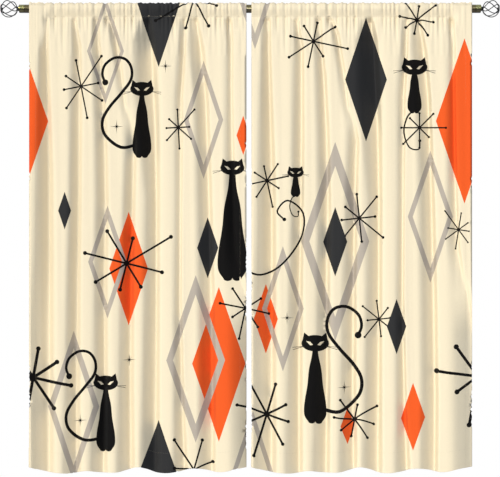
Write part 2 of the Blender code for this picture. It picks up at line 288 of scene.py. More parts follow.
@dataclass(frozen=True)
class WovenCloth(Finish):
    """Plain-woven polyester with an ink printed on it, or its paler reverse."""

    name: str
    colour: Colour
    yarn: float = 0.00075
    relief: float = 0.35
    mottle: float = 0.03
    roughness: float = 0.85
    sheen: float = 0.02
    gloss: float = 0.10
    slub: tuple[float, float] = (260.0, 14.0)
    weave_shade: float = 0.012

    def constants(self) -> dict[str, Any]:
        """Roughness, sheen and gloss of the cloth."""
        return {
            "Roughness": self.roughness, "Sheen Weight": self.sheen, "Sheen Roughness": 0.5,
            "Specular IOR Level": self.gloss, "Metallic": 0.0,
        }

    def build(self, tree: Tree, shader: bpy.types.Node) -> None:
        """Warp and weft from the cloth's own map, slubs along each, and a faint mottle."""
        place = tree.socket("ShaderNodeUVMap", {"uv_map": "cloth"}, None, "UV")
        split = tree.node("ShaderNodeSeparateXYZ", None, {0: place})
        warp, weft = ((Value(tree, split.outputs[n]) * (TAU / self.yarn)).sine() for n in range(2))
        thick, long = self.slub
        ways = ((thick, long, 1.0), (long, thick, 1.0))
        slubs = sum(tree.noise(tree.stretched(place, way), 4.0) for way in ways)
        cloud = tree.noise(place, 9.0, 4.0)
        shade = 1.0 + (slubs - 1.0) * (2.6 * self.mottle) + (cloud - 0.5) * self.mottle
        shade = shade + warp * weft * self.weave_shade
        grey = tree.socket("ShaderNodeCombineColor", None, {0: shade, 1: shade, 2: shade})
        inked = tree.mix(1.0, (*self.colour, 1.0), grey, "MULTIPLY")
        tree.link(inked, shader.inputs["Base Color"])
        tree.bump(shader, warp * weft + slubs * 0.8, self.relief, 0.00012)


@dataclass(frozen=True)
class Metal(Finish):
    """A metal with drawn lines, small scratches, blotches of patina and painted shade that darkens its lower
    half.
    """

    name: str
    colour: Colour
    patina_and_shade_colour: Colour
    roughness: float = 0.26
    metallic: float = 1.0
    underside_shade: float = 0.0
    lines: float = 900.0
    coat: float = 0.0

    def constants(self) -> dict[str, Any]:
        """Metallic share and lacquer."""
        return {"Metallic": self.metallic, "Coat Weight": self.coat, "Coat Roughness": 0.08}

    def build(self, tree: Tree, shader: bpy.types.Node) -> None:
        """Drawn lines along X, blotches of patina, painted shade below the rod's axis, and wear that shows
        in the roughness.
        """
        place = tree.socket("ShaderNodeTexCoord", output="Object")
        drawn = tree.noise(tree.stretched(place, (6.0, self.lines, self.lines)), 1.0, 3.0)
        blotch = tree.noise(place, 55.0, 5.0)
        height = tree.value("ShaderNodeSeparateXYZ", None, {0: place}, 2)
        # Painted shade: below the rod's axis the colour darkens towards the dark colour, so the lower half
        # reads as shaded.
        under = (0.15 - height * 160.0).clamp(0.0, 1.0) * self.underside_shade
        patina_and_painted_shade = (under + (blotch - 0.5) * 0.3 + (drawn - 0.5) * 0.12).clamp(0.0, 1.0)
        colour = tree.mix(patina_and_painted_shade, (*self.colour, 1.0), (*self.patina_and_shade_colour, 1.0))
        tree.link(colour, shader.inputs["Base Color"])
        rough = (self.roughness + (blotch - 0.5) * 0.08 + (drawn - 0.5) * 0.06).clamp(0.05, 0.9)
        tree.link(rough, shader.inputs["Roughness"])
        tree.bump(shader, drawn, 0.05, 0.00005)


@dataclass(frozen=True)
class Moulded(Finish):
    """A moulded plastic, or a painted ground, with a fine grain."""

    name: str
    colour: Colour
    roughness: float = 0.5
    grain: float = 1600.0

    def constants(self) -> dict[str, Any]:
        """Roughness of the moulded face."""
        return {"Roughness": self.roughness}

    def build(self, tree: Tree, shader: bpy.types.Node) -> None:
        """A fine grain in the normal and a faint cloud in the colour."""
        place = tree.socket("ShaderNodeTexCoord", output="Object")
        dark = tuple(0.93 * part for part in self.colour)
        colour = tree.mix(tree.noise(place, 30.0, 4.0), (*dark, 1.0), (*self.colour, 1.0))
        tree.link(colour, shader.inputs["Base Color"])
        tree.bump(shader, tree.noise(place, self.grain), 0.08, 0.00005)


# Each brass carries painted shade on its lower half: strongly on the tubes and ferrules, weakly on the cast
# bracket parts.
BRASS = Metal("aged_brass", (0.26, 0.21, 0.09), (0.05, 0.038, 0.022), 0.20, underside_shade=0.9, coat=0.5)
BRIGHT_BRASS = Metal("polished_brass", (0.46, 0.43, 0.17), (0.05, 0.038, 0.018), 0.16, underside_shade=0.9, coat=0.6)
CAST_BRASS = Metal("cast_brass", (0.34, 0.27, 0.13), (0.12, 0.085, 0.035), 0.36, underside_shade=0.3, lines=120.0)
STEEL = Metal("brushed_steel", (0.56, 0.56, 0.57), (0.3, 0.3, 0.31), 0.3)
BLACK_WIRE = Metal("black_lacquered_wire", (0.012, 0.012, 0.013), (0.03, 0.028, 0.026), 0.38,
                   metallic=0.35, lines=60.0, coat=0.3)
GLIDE_PLASTIC = Moulded("glide_plastic", (0.75, 0.74, 0.70))
# The stitches are real thread; its dark taupe, darker than the cream cloth, is painted shade along each seam
# line.
SHADED_THREAD = WovenCloth("sewing_thread_with_painted_shade", (0.36, 0.31, 0.23), yarn=0.0004, relief=0.5)


# ---------------------------------------------------------------------------------------------
# Meshes
# ---------------------------------------------------------------------------------------------


def piece(name: str, mesh: bpy.types.Mesh, *finishes: Finish) -> bpy.types.Object:
    """Link a mesh as an object at the origin, dressed in its finishes."""
    obj = bpy.data.objects.new(name, mesh)
    bpy.context.scene.collection.objects.link(obj)
    for finish in finishes:
        obj.data.materials.append(finish.material())
    return obj


def mesh_of(name: str, bm: bmesh.types.BMesh, sharp: float = 35.0) -> bpy.types.Mesh:
    """Turn a closed bmesh into a mesh with outward faces, smooth but for its real edges.

    Args:
        name: The mesh's name.
        bm: The shape, which is freed.
        sharp: Edges over this many degrees stay sharp.

    Returns:
        The mesh.
    """
    bmesh.ops.remove_doubles(bm, verts=bm.verts, dist=1e-6)
    bmesh.ops.recalc_face_normals(bm, faces=bm.faces)
    mesh = bpy.data.meshes.new(name)
    bm.to_mesh(mesh)
    bm.free()
    mesh.shade_smooth()
    mesh.set_sharp_from_angle(angle=math.radians(sharp))
    return mesh


def lathe(name: str, outline: Sequence[tuple[float, float]], centre: Vector, along: Vector,
          sides: int = 64, ring: bool = False) -> bpy.types.Mesh:
    """Turn an outline about an axis.

    Args:
        name: The mesh's name.
        outline: Points (distance along the axis, radius).
        centre: Where distance 0 lies on the axis.
        along: The axis.
        sides: Facets round it.
        ring: Whether the outline closes on itself, as a tube's does.

    Returns:
        The turned mesh.
    """
    bm = bmesh.new()
    turn = Vector((0, 0, 1)).rotation_difference(along.normalized()).to_matrix().to_4x4()
    spot = Matrix.Translation(centre) @ turn
    verts = [bm.verts.new(spot @ Vector((radius, 0.0, place))) for place, radius in outline]
    pairs = list(zip(verts, verts[1:] + (verts[:1] if ring else [])))
    edges = [bm.edges.new(pair) for pair in pairs]
    bmesh.ops.spin(bm, geom=verts + edges, cent=centre, axis=along, angle=TAU, steps=sides, use_merge=True)
    return mesh_of(name, bm)


def rounded(outline: Sequence[tuple[float, float]], radius: float,
            steps: int = 4) -> list[tuple[float, float]]:
    """Round the inner corners of an open outline.

    Args:
        outline: The corners.
        radius: How far from each corner the rounding starts, at most half of each side.
        steps: Points on each rounding.

    Returns:
        The outline with its corners rounded.
    """
    points = [Vector(point) for point in outline]
    made = [points[0]]
    for before, corner, after in zip(points, points[1:], points[2:]):
        start = corner + (before - corner).normalized() * min(radius, (before - corner).length / 2)
        end = corner + (after - corner).normalized() * min(radius, (after - corner).length / 2)
        for step in range(steps + 1):
            share = step / steps
            made.append(start.lerp(corner, share).lerp(corner.lerp(end, share), share))
    return [tuple(point) for point in [*made, points[-1]]]


def slab(name: str, outline: Sequence[tuple[float, float]], axis: int, low: float, high: float,
         edge: float) -> bpy.types.Mesh:
    """Push a flat outline along an axis and bevel its rims.

    Args:
        name: The mesh's name.
        outline: Points in the two other axes.
        axis: 0, 1 or 2.
        low: Where it starts.
        high: Where it ends.
        edge: Width of the bevel.

    Returns:
        The beveled mesh.
    """
    bm = bmesh.new()
    corners = []
    for pair in outline:
        corner = list(pair)
        corner.insert(axis, low)
        corners.append(bm.verts.new(corner))
    face = bm.faces.new(corners)
    push = [0.0, 0.0, 0.0]
    push[axis] = high - low
    grown = bmesh.ops.extrude_face_region(bm, geom=[face])["geom"]
    bmesh.ops.translate(bm, verts=[v for v in grown if isinstance(v, bmesh.types.BMVert)], vec=push)
    rims = [e for e in bm.edges if abs(e.verts[0].co[axis] - e.verts[1].co[axis]) < 1e-9]
    bmesh.ops.bevel(bm, geom=rims, offset=edge, segments=2, profile=0.6, affect="EDGES")
    return mesh_of(name, bm, 30.0)


class GeometryRecipe:
    """A Geometry Nodes modifier built in the script, run once and turned into a plain mesh."""

    def __init__(self, name: str, inputs: dict[str, tuple[str, float]]) -> None:
        """Open a tree with a geometry input and these named inputs: socket type and value."""
        self.name = name
        self.values = {key: value for key, (_, value) in inputs.items()}
        group = bpy.data.node_groups.new(name, "GeometryNodeTree")
        group.interface.new_socket("Geometry", in_out="INPUT", socket_type="NodeSocketGeometry")
        for key, (kind, _) in inputs.items():
            group.interface.new_socket(key, in_out="INPUT", socket_type=kind)
        group.interface.new_socket("Geometry", in_out="OUTPUT", socket_type="NodeSocketGeometry")
        self.group, self.tree = group, Tree(group)
        self.given = group.nodes.new("NodeGroupInput").outputs

    def run(self, source: bpy.types.Mesh, made: bpy.types.NodeSocket, finish: Finish) -> bpy.types.Mesh:
        """Close the tree and run it.

        Args:
            source: The mesh that the tree starts from.
            made: The socket with the geometry that it made.
            finish: What the geometry wears.

        Returns:
            The made mesh, without instances.
        """
        whole = self.tree.socket("GeometryNodeRealizeInstances", None, {0: made})
        smooth = self.tree.socket("GeometryNodeSetShadeSmooth", None, {"Geometry": whole})
        dressed = self.tree.socket("GeometryNodeSetMaterial", None,
                                   {"Geometry": smooth, "Material": finish.material()})
        self.tree.node("NodeGroupOutput", None, {0: dressed})
        holder = bpy.data.objects.new(self.name, source)
        bpy.context.scene.collection.objects.link(holder)
        modifier = holder.modifiers.new(self.name, "NODES")
        modifier.node_group = self.group
        for item in self.group.interface.items_tree:
            if item.in_out == "INPUT" and item.name in self.values:
                modifier[item.identifier] = self.values[item.name]
        bpy.context.view_layer.update()
        graph = bpy.context.evaluated_depsgraph_get()
        mesh = bpy.data.meshes.new_from_object(holder.evaluated_get(graph))
        bpy.data.objects.remove(holder, do_unlink=True)
        mesh.name = self.name
        return mesh


def path_mesh(name: str, runs: Iterable[Array]) -> bpy.types.Mesh:
    """A mesh of edges only, one chain for each run of points."""
    points, edges = [], []
    for run in runs:
        first = len(points)
        points.extend(map(tuple, run))
        edges.extend((first + n, first + n + 1) for n in range(len(run) - 1))
    mesh = bpy.data.meshes.new(name)
    mesh.from_pydata(points, edges, [])
    return mesh


# ---------------------------------------------------------------------------------------------
# The print
# ---------------------------------------------------------------------------------------------


class Ink(IntEnum):
    """The printed colours, in the order of the cloth's material slots."""

    CREAM = 0
    ORANGE = 1
    CHARCOAL = 2
    TAUPE = 3
    BLACK = 4


INK_COLOURS = {
    Ink.CREAM: (0.640, 0.558, 0.412),
    Ink.ORANGE: (0.640, 0.082, 0.014),
    Ink.CHARCOAL: (0.022, 0.022, 0.023),
    Ink.TAUPE: (0.350, 0.306, 0.258),
    Ink.BLACK: (0.0030, 0.0026, 0.0026),
}
SHOW_THROUGH = 0.22


@dataclass(frozen=True)
class Area:
    """A filled outline, in metres on the flat of the cloth."""

    outline: Array

    def lines(self) -> list[Array]:
        """The closed line that bounds it."""
        return [np.vstack([self.outline, self.outline[:1]])]

    def covers(self, points: Array) -> Array:
        """Whether each point is inside, by counting crossings."""
        inside = np.zeros(len(points), bool)
        x, z = points[:, 0], points[:, 1]
        for (x0, z0), (x1, z1) in zip(self.outline, np.roll(self.outline, -1, axis=0)):
            if z0 == z1:
                continue
            crosses = (z0 > z) != (z1 > z)
            inside ^= crosses & (x < (x1 - x0) * (z - z0) / (z1 - z0) + x0)
        return inside


@dataclass(frozen=True)
class Stroke:
    """A drawn line whose half width runs evenly from one end to the other."""

    path: Array
    start: float
    end: float

    def lines(self) -> list[Array]:
        """Its two sides and the caps, as one closed line."""
        run = np.gradient(self.path, axis=0)
        run /= np.linalg.norm(run, axis=1)[:, None]
        widths = np.linspace(self.start, self.end, len(run))[:, None]
        side = np.stack([-run[:, 1], run[:, 0]], axis=1) * widths
        return [np.vstack([self.path + side, (self.path - side)[::-1], (self.path + side)[:1]])]

    def covers(self, points: Array) -> Array:
        """Whether each point is within the half width of the line."""
        low = self.path.min(0) - max(self.start, self.end)
        high = self.path.max(0) + max(self.start, self.end)
        near = np.flatnonzero(((points > low) & (points < high)).all(axis=1))
        inside = np.zeros(len(points), bool)
        widths = np.linspace(self.start, self.end, len(self.path))
        for first, second, wide in zip(self.path, self.path[1:], widths):
            along = second - first
            share = np.clip((points[near] - first) @ along / (along @ along), 0.0, 1.0)
            away = np.linalg.norm(points[near] - first - share[:, None] * along, axis=1)
            inside[near] |= away < wide
        return inside


Shape = Area | Stroke


def ellipse(x: float, z: float, wide: float, high: float, points: int = 20) -> Area:
    """An ellipse with these half axes, in millimetres."""
    turn = np.linspace(0.0, TAU, points, endpoint=False)
    return Area(np.stack([x + wide * np.cos(turn), z + high * np.sin(turn)], axis=1) * MM)


def bar(x: float, z: float, angle: float, length: float, half: float) -> Stroke:
    """A straight stroke from a point in millimetres, at an angle in degrees."""
    heading = np.array([math.cos(math.radians(angle)), math.sin(math.radians(angle))])
    steps = max(2, int(length / 8))
    path = np.array([x, z]) + np.linspace(0.0, length, steps + 1)[:, None] * heading
    return Stroke(path * MM, half * MM, half * MM)


def rhombus(half: float, rise: float) -> Array:
    """The corners of a diamond about the origin, from the top and to the left."""
    return np.array([(0, rise), (-half, 0), (0, -rise), (half, 0)])


def flowing(points: Sequence[tuple[float, float]], steps: int = 9) -> Array:
    """A smooth curve through given points.

    Args:
        points: Points that the curve passes.
        steps: Steps between two of them.

    Returns:
        Points along the curve.
    """
    knots = np.array([points[0], *points, points[-1]], float)
    share = np.linspace(0.0, 1.0, steps, endpoint=False)[:, None]
    runs = []
    for a, b, c, d in zip(knots, knots[1:], knots[2:], knots[3:]):
        runs.append(0.5 * (2 * b + (c - a) * share + (2 * a - 5 * b + 4 * c - d) * share**2
                           + (3 * b - a - 3 * c + d) * share**3))
    return np.vstack([*runs, knots[-1:]])


@dataclass(frozen=True)
class Motif:
    """Something printed at a place, in millimetres."""

    x: float
    z: float

    def inks(self) -> list[tuple[Ink, Shape]]:
        """Its shapes, each with its ink, the last on top."""
        raise NotImplementedError


@dataclass(frozen=True)
class Diamond(Motif):
    """A tall filled diamond, by its half width and half height."""

    half: float
    rise: float
    ink: Ink

    def inks(self) -> list[tuple[Ink, Shape]]:
        """One filled diamond."""
        corners = rhombus(self.half, self.rise)
        return [(self.ink, Area((corners + (self.x, self.z)) * MM))]


@dataclass(frozen=True)
class DiamondLine(Motif):
    """A tall diamond drawn as an even band, by its outer half width, half height and the band."""

    half: float
    rise: float
    band: float

    def inks(self) -> list[tuple[Ink, Shape]]:
        """Four bands that meet at the corners, so that what lies inside still shows."""
        outer = rhombus(self.half, self.rise)
        inner = outer * (1 - self.band / self.half)
        place = (self.x, self.z)
        made = []
        for n in range(4):
            after = (n + 1) % 4
            corners = np.array([outer[n], outer[after], inner[after], inner[n]])
            made.append((Ink.TAUPE, Area((corners + place) * MM)))
        return made


@dataclass(frozen=True)
class Starburst(Motif):
    """Eight rays at even angles, each with its own length and a dot on its end."""

    turn: float
    rays: tuple[float, ...]
    half: float
    dot: float

    def inks(self) -> list[tuple[Ink, Shape]]:
        """The rays and their dots."""
        made: list[tuple[Ink, Shape]] = []
        for number, length in enumerate(self.rays):
            angle = self.turn + 360.0 * number / len(self.rays)
            made.append((Ink.BLACK, bar(self.x, self.z, angle, length, self.half)))
            tip = math.radians(angle)
            spot = (self.x + length * math.cos(tip), self.z + length * math.sin(tip))
            made.append((Ink.BLACK, ellipse(*spot, self.dot, self.dot, 12)))
        return made


@dataclass(frozen=True)
class Sparkle(Motif):
    """A small twinkle: four long thin arms and four short ones round a dot."""

    reach: float = 24.0
    half: float = 1.5
    short: float = 0.42
    dot: float = 3.4

    def inks(self) -> list[tuple[Ink, Shape]]:
        """The arms as slim diamonds, and the dot."""
        made: list[tuple[Ink, Shape]] = []
        for number in range(4):
            turn = number * math.pi / 4
            reach = self.reach if number % 2 == 0 else self.reach * self.short
            ahead = np.array([math.cos(turn), math.sin(turn)])
            aside = np.array([-ahead[1], ahead[0]]) * self.half
            corners = np.array([ahead * reach, aside, -ahead * reach, -aside]) + (self.x, self.z)
            made.append((Ink.CHARCOAL, Area(corners * MM)))
        made.append((Ink.BLACK, ellipse(self.x, self.z, self.dot, self.dot, 12)))
        return made


class Tail(Enum):
    """How a cat holds its tail: points in heights of the cat, from its foot, outwards and up."""

    HOOK = ((0.06, 0.16), (0.28, 0.12), (0.49, 0.28), (0.53, 0.47), (0.44, 0.65), (0.28, 0.84),
            (0.15, 1.02), (0.14, 1.18), (0.22, 1.30), (0.36, 1.32), (0.49, 1.23), (0.53, 1.10), (0.49, 0.99))
    SWEEP = ((0.08, 0.08), (0.24, 0.03), (0.42, 0.12), (0.58, 0.34), (0.60, 0.55), (0.47, 0.66),
             (0.38, 0.57), (0.44, 0.50))
    FALL = ((0.02, 0.03), (0.14, -0.10), (0.20, -0.38), (0.10, -0.66), (-0.08, -0.70), (-0.10, -0.54))


@dataclass(frozen=True)
class SittingCat(Motif):
    """A plain silhouette of a sitting cat, by its foot, height, head and body half widths."""

    height: float
    head: float
    girth: float
    tail: Tail
    facing: int
    line: float = 5.0

    def body(self) -> Shape:
        """Neck, shoulders and haunches, as shares of the girth and of the height."""
        side = ((0.20, 0.90), (0.30, 0.76), (0.56, 0.60), (0.70, 0.42), (0.96, 0.22), (0.98, 0.08),
                (0.62, 0.0))
        flank = flowing([(out * self.girth, up * self.height) for out, up in side], 6)
        outline = np.vstack([flank, flank[::-1] * (-1, 1)])
        return Area((outline + (self.x, self.z)) * MM)

    def face(self) -> list[tuple[Ink, Shape]]:
        """Ears, head, whiskers and eyes."""
        x, head = self.x, self.head
        brow = self.z + self.height - 0.62 * head
        made: list[tuple[Ink, Shape]] = [(Ink.BLACK, ellipse(x, brow, head, 0.60 * head, 26))]
        for sign in (-1, 1):
            ear = np.array([(0.14, 0.40), (0.95, 0.10), (0.80, 1.26)]) * (sign * head, 0.62 * head)
            made.append((Ink.BLACK, Area((ear + (x, brow)) * MM)))
            for fall in (-4, -16):
                spot = (x + sign * 0.8 * head, brow - 0.22 * head)
                angle = 90 - sign * (90 - fall)
                made.append((Ink.CHARCOAL, bar(*spot, angle, 0.85 * head, 0.018 * head)))
            eye = np.array([(0.16, -0.12), (0.36, -0.16), (0.66, 0.16), (0.36, 0.10)]) * (sign * head, head)
            made.append((Ink.CREAM, Area((eye + (x, brow)) * MM)))
        return made

    def inks(self) -> list[tuple[Ink, Shape]]:
        """Tail, body and paws, then the face."""
        route = [(self.x + self.facing * out * self.height, self.z + up * self.height)
                 for out, up in self.tail.value]
        made: list[tuple[Ink, Shape]] = [
            (Ink.BLACK, Stroke(flowing(route, 6) * MM, self.line * MM, 0.8 * self.line * MM)),
            (Ink.BLACK, ellipse(*route[-1], 1.9 * self.line, 1.9 * self.line, 14)),
            (Ink.BLACK, self.body()),
        ]
        for sign in (-1, 1):
            paw = 0.30 * self.girth
            made.append((Ink.BLACK, ellipse(self.x + sign * paw * 1.05, self.z, paw, paw * 0.6, 14)))
        return made + self.face()


def diamonds() -> list[Motif]:
    """The filled diamonds and, over them, the drawn ones."""
    orange = [(-784, -383, 97, 281), (-413, -885, 66, 194), (-106, -1211, 91, 264), (-23, -431, 23, 67),
              (54, -1056, 41, 119), (332, -1424, 24, 64), (555, -1396, 41, 119), (730, -382, 97, 281)]
    charcoal = [(-631, -687, 22, 64), (-311, 13, 72, 211), (-311, -1611, 72, 211), (-144, -814, 36, 104),
                (395, -241, 71, 211)]
    drawn = [(-492, -144, 63, 180, 12), (-485, -862, 66, 192, 16), (-158, -378, 67, 201, 16),
             (-600, -1355, 87, 259, 20), (-185, -1197, 100, 290, 23), (10, -1587, 71, 211, 17),
             (17, 74, 71, 211, 17), (290, -792, 116, 339, 28), (112, -1021, 71, 213, 17),
             (614, -708, 77, 225, 17)]
    made: list[Motif] = [Diamond(*sizes, Ink.ORANGE) for sizes in orange]
    made += [Diamond(*sizes, Ink.CHARCOAL) for sizes in charcoal]
    return made + [DiamondLine(*sizes) for sizes in drawn]


def starbursts() -> list[Motif]:
    """The starbursts, with the two small diamonds and the sparkles that lie over them."""
    bursts = [
        (-575, -264, 11, (59, 124, 90, 62, 59, 89, 109, 86), 2.3, 5),
        (-191, 30, 29, (70, 90, 60, 80, 149, 100, 104, 80), 2.7, 6),
        (-244, -404, 3, (37, 82, 61, 42, 40, 58, 72, 58), 2.3, 4),
        (-420, -867, 31, (176, 88, 128, 146, 123, 92, 94, 124), 3.3, 7),
        (-738, -1259, 35, (99, 102, 116, 90, 84, 101, 123, 131), 5.2, 8),
        (-15, -1021, 33, (62, 89, 81, 89, 53, 106, 76, 81), 2.8, 5),
        (-191, -1584, 30, (75, 111, 133, 68, 70, 70, 70, 70), 2.8, 6),
        (57, -1383, 29, (74, 109, 132, 105, 73, 159, 112, 76), 3.7, 6),
        (58, -585, 12, (73, 67, 50, 50, 70, 66, 91, 47), 2.5, 4),
        (372, -713, 6, (54, 94, 82, 61, 60, 80, 80, 104), 2.5, 5),
        (439, -1057, 7, (38, 49, 63, 70, 39, 79, 58, 39), 2.2, 4),
        (356, -1405, 34, (92, 51, 87, 71, 55, 59, 78, 66), 2.8, 5),
        (216, -111, 33, (88, 65, 59, 80, 99, 88, 60, 119), 2.5, 5),
        (568, -38, 35, (78, 43, 65, 59, 47, 48, 65, 57), 2.4, 5),
        (577, -405, 0, (90, 67, 49, 46, 62, 78, 68, 45), 2.3, 4),
        (710, -752, 36, (39, 57, 79, 36, 54, 66, 54, 36), 2.0, 3),
        (776, -1258, 35, (90, 90, 129, 143, 87, 172, 90, 90), 5.0, 9),
    ]
    over = [(290, -793, 41, 118), (499, -1082, 33, 94)]
    sparkles = [(-288, -195), (-454, -401), (-411, -1197), (-578, -1403), (126, -1052), (321, -1290)]
    made: list[Motif] = [Starburst(*row) for row in bursts]
    made += [Diamond(*sizes, Ink.CHARCOAL) for sizes in over]
    return made + [Sparkle(*place) for place in sparkles]


def cats() -> list[Motif]:
    """The sitting cats, which lie over everything else."""
    return [
        SittingCat(-368, -502, 254, 40, 32, Tail.HOOK, -1, 5.4),
        SittingCat(-60, -918, 402, 41, 50, Tail.SWEEP, 1, 3.4),
        SittingCat(-491, -1502, 254, 42, 32, Tail.HOOK, -1, 5.4),
        SittingCat(155, -638, 98, 28, 16, Tail.FALL, -1, 2.0),
        SittingCat(222, -1408, 298, 47, 38, Tail.HOOK, 1, 6.2),
        SittingCat(560, -352, 180, 44, 24, Tail.FALL, -1, 2.8),
    ]


class Print:
    """The whole print, which runs on across both panels."""

    def __init__(self) -> None:
        """Lay out the motifs, the later ones over the earlier."""
        self.layers = [pair for motif in [*diamonds(), *starbursts(), *cats()] for pair in motif.inks()]

    def lines(self, low: Array, high: Array, step: float) -> list[Array]:
        """The outlines that reach into a window, in short steps.

        Args:
            low: Lowest corner of the window.
            high: Highest corner.
            step: Longest step along a line.

        Returns:
            Runs of points.
        """
        runs = []
        for _, shape in self.layers:
            for line in shape.lines():
                if (line.max(0) < low).any() or (line.min(0) > high).any():
                    continue
                parts = []
                for first, second in zip(line, line[1:]):
                    count = max(1, math.ceil(np.linalg.norm(second - first) / step))
                    share = np.linspace(0.0, 1.0, count, endpoint=False)[:, None]
                    parts.append(first + share * (second - first))
                runs.append(np.vstack([*parts, line[-1:]]))
        return runs

    def ink_at(self, points: Array) -> Array:
        """The ink of each point of the cloth's flat."""
        inks = np.full(len(points), int(Ink.CREAM))
        for ink, shape in self.layers:
            inks[shape.covers(points)] = int(ink)
        return inks


# ---------------------------------------------------------------------------------------------
# The panels
# ---------------------------------------------------------------------------------------------


@dataclass(frozen=True)
class Valley:
    """A fold's valley that wanders down the panel: a long slope in, and a short steep way out.

    Each knot is a depth below the rod, the place of the slope's middle from the panel's left
    edge, how far back the valley goes and half the slope's width, all in millimetres.
    """

    knots: tuple[tuple[float, float, float, float], ...]
    lag: float = 0.80
    deepening: float = 1.2
    way_in: float = 1.95
    way_out: float = 0.40
    way_out_least: float = 0.004
    crest: float = 1.05
    bottom_round: float = 0.15
    shoulder_round: float = 0.02

    def at(self, z: Array) -> tuple[Array, Array, Array]:
        """Where the valley's bottom lies at a height, how deep it is and half its slope's width."""
        fall, place, depth, half = np.array(self.knots).T * MM
        place, depth, half = (np.interp(-z, fall, row) for row in (place, depth, half))
        return place + self.lag * half, self.deepening * depth, half

    def back(self, across: Array, z: Array) -> Array:
        """How far the cloth lies behind the ridges, with a soft bottom and soft shoulders."""
        bottom, depth, half = self.at(z)
        away = across - bottom
        reach = np.where(away < 0, self.way_in * half, self.way_out * half + self.way_out_least)
        room = self.crest - np.hypot(away / reach, self.bottom_round)
        return depth * (np.sqrt(room * room + self.shoulder_round) + room) / 2


@dataclass(frozen=True)
class Pinch:
    """A short crease that the gathering makes below the header, in millimetres."""

    place: float
    depth: float
    reach: float
    half: float = 5.0


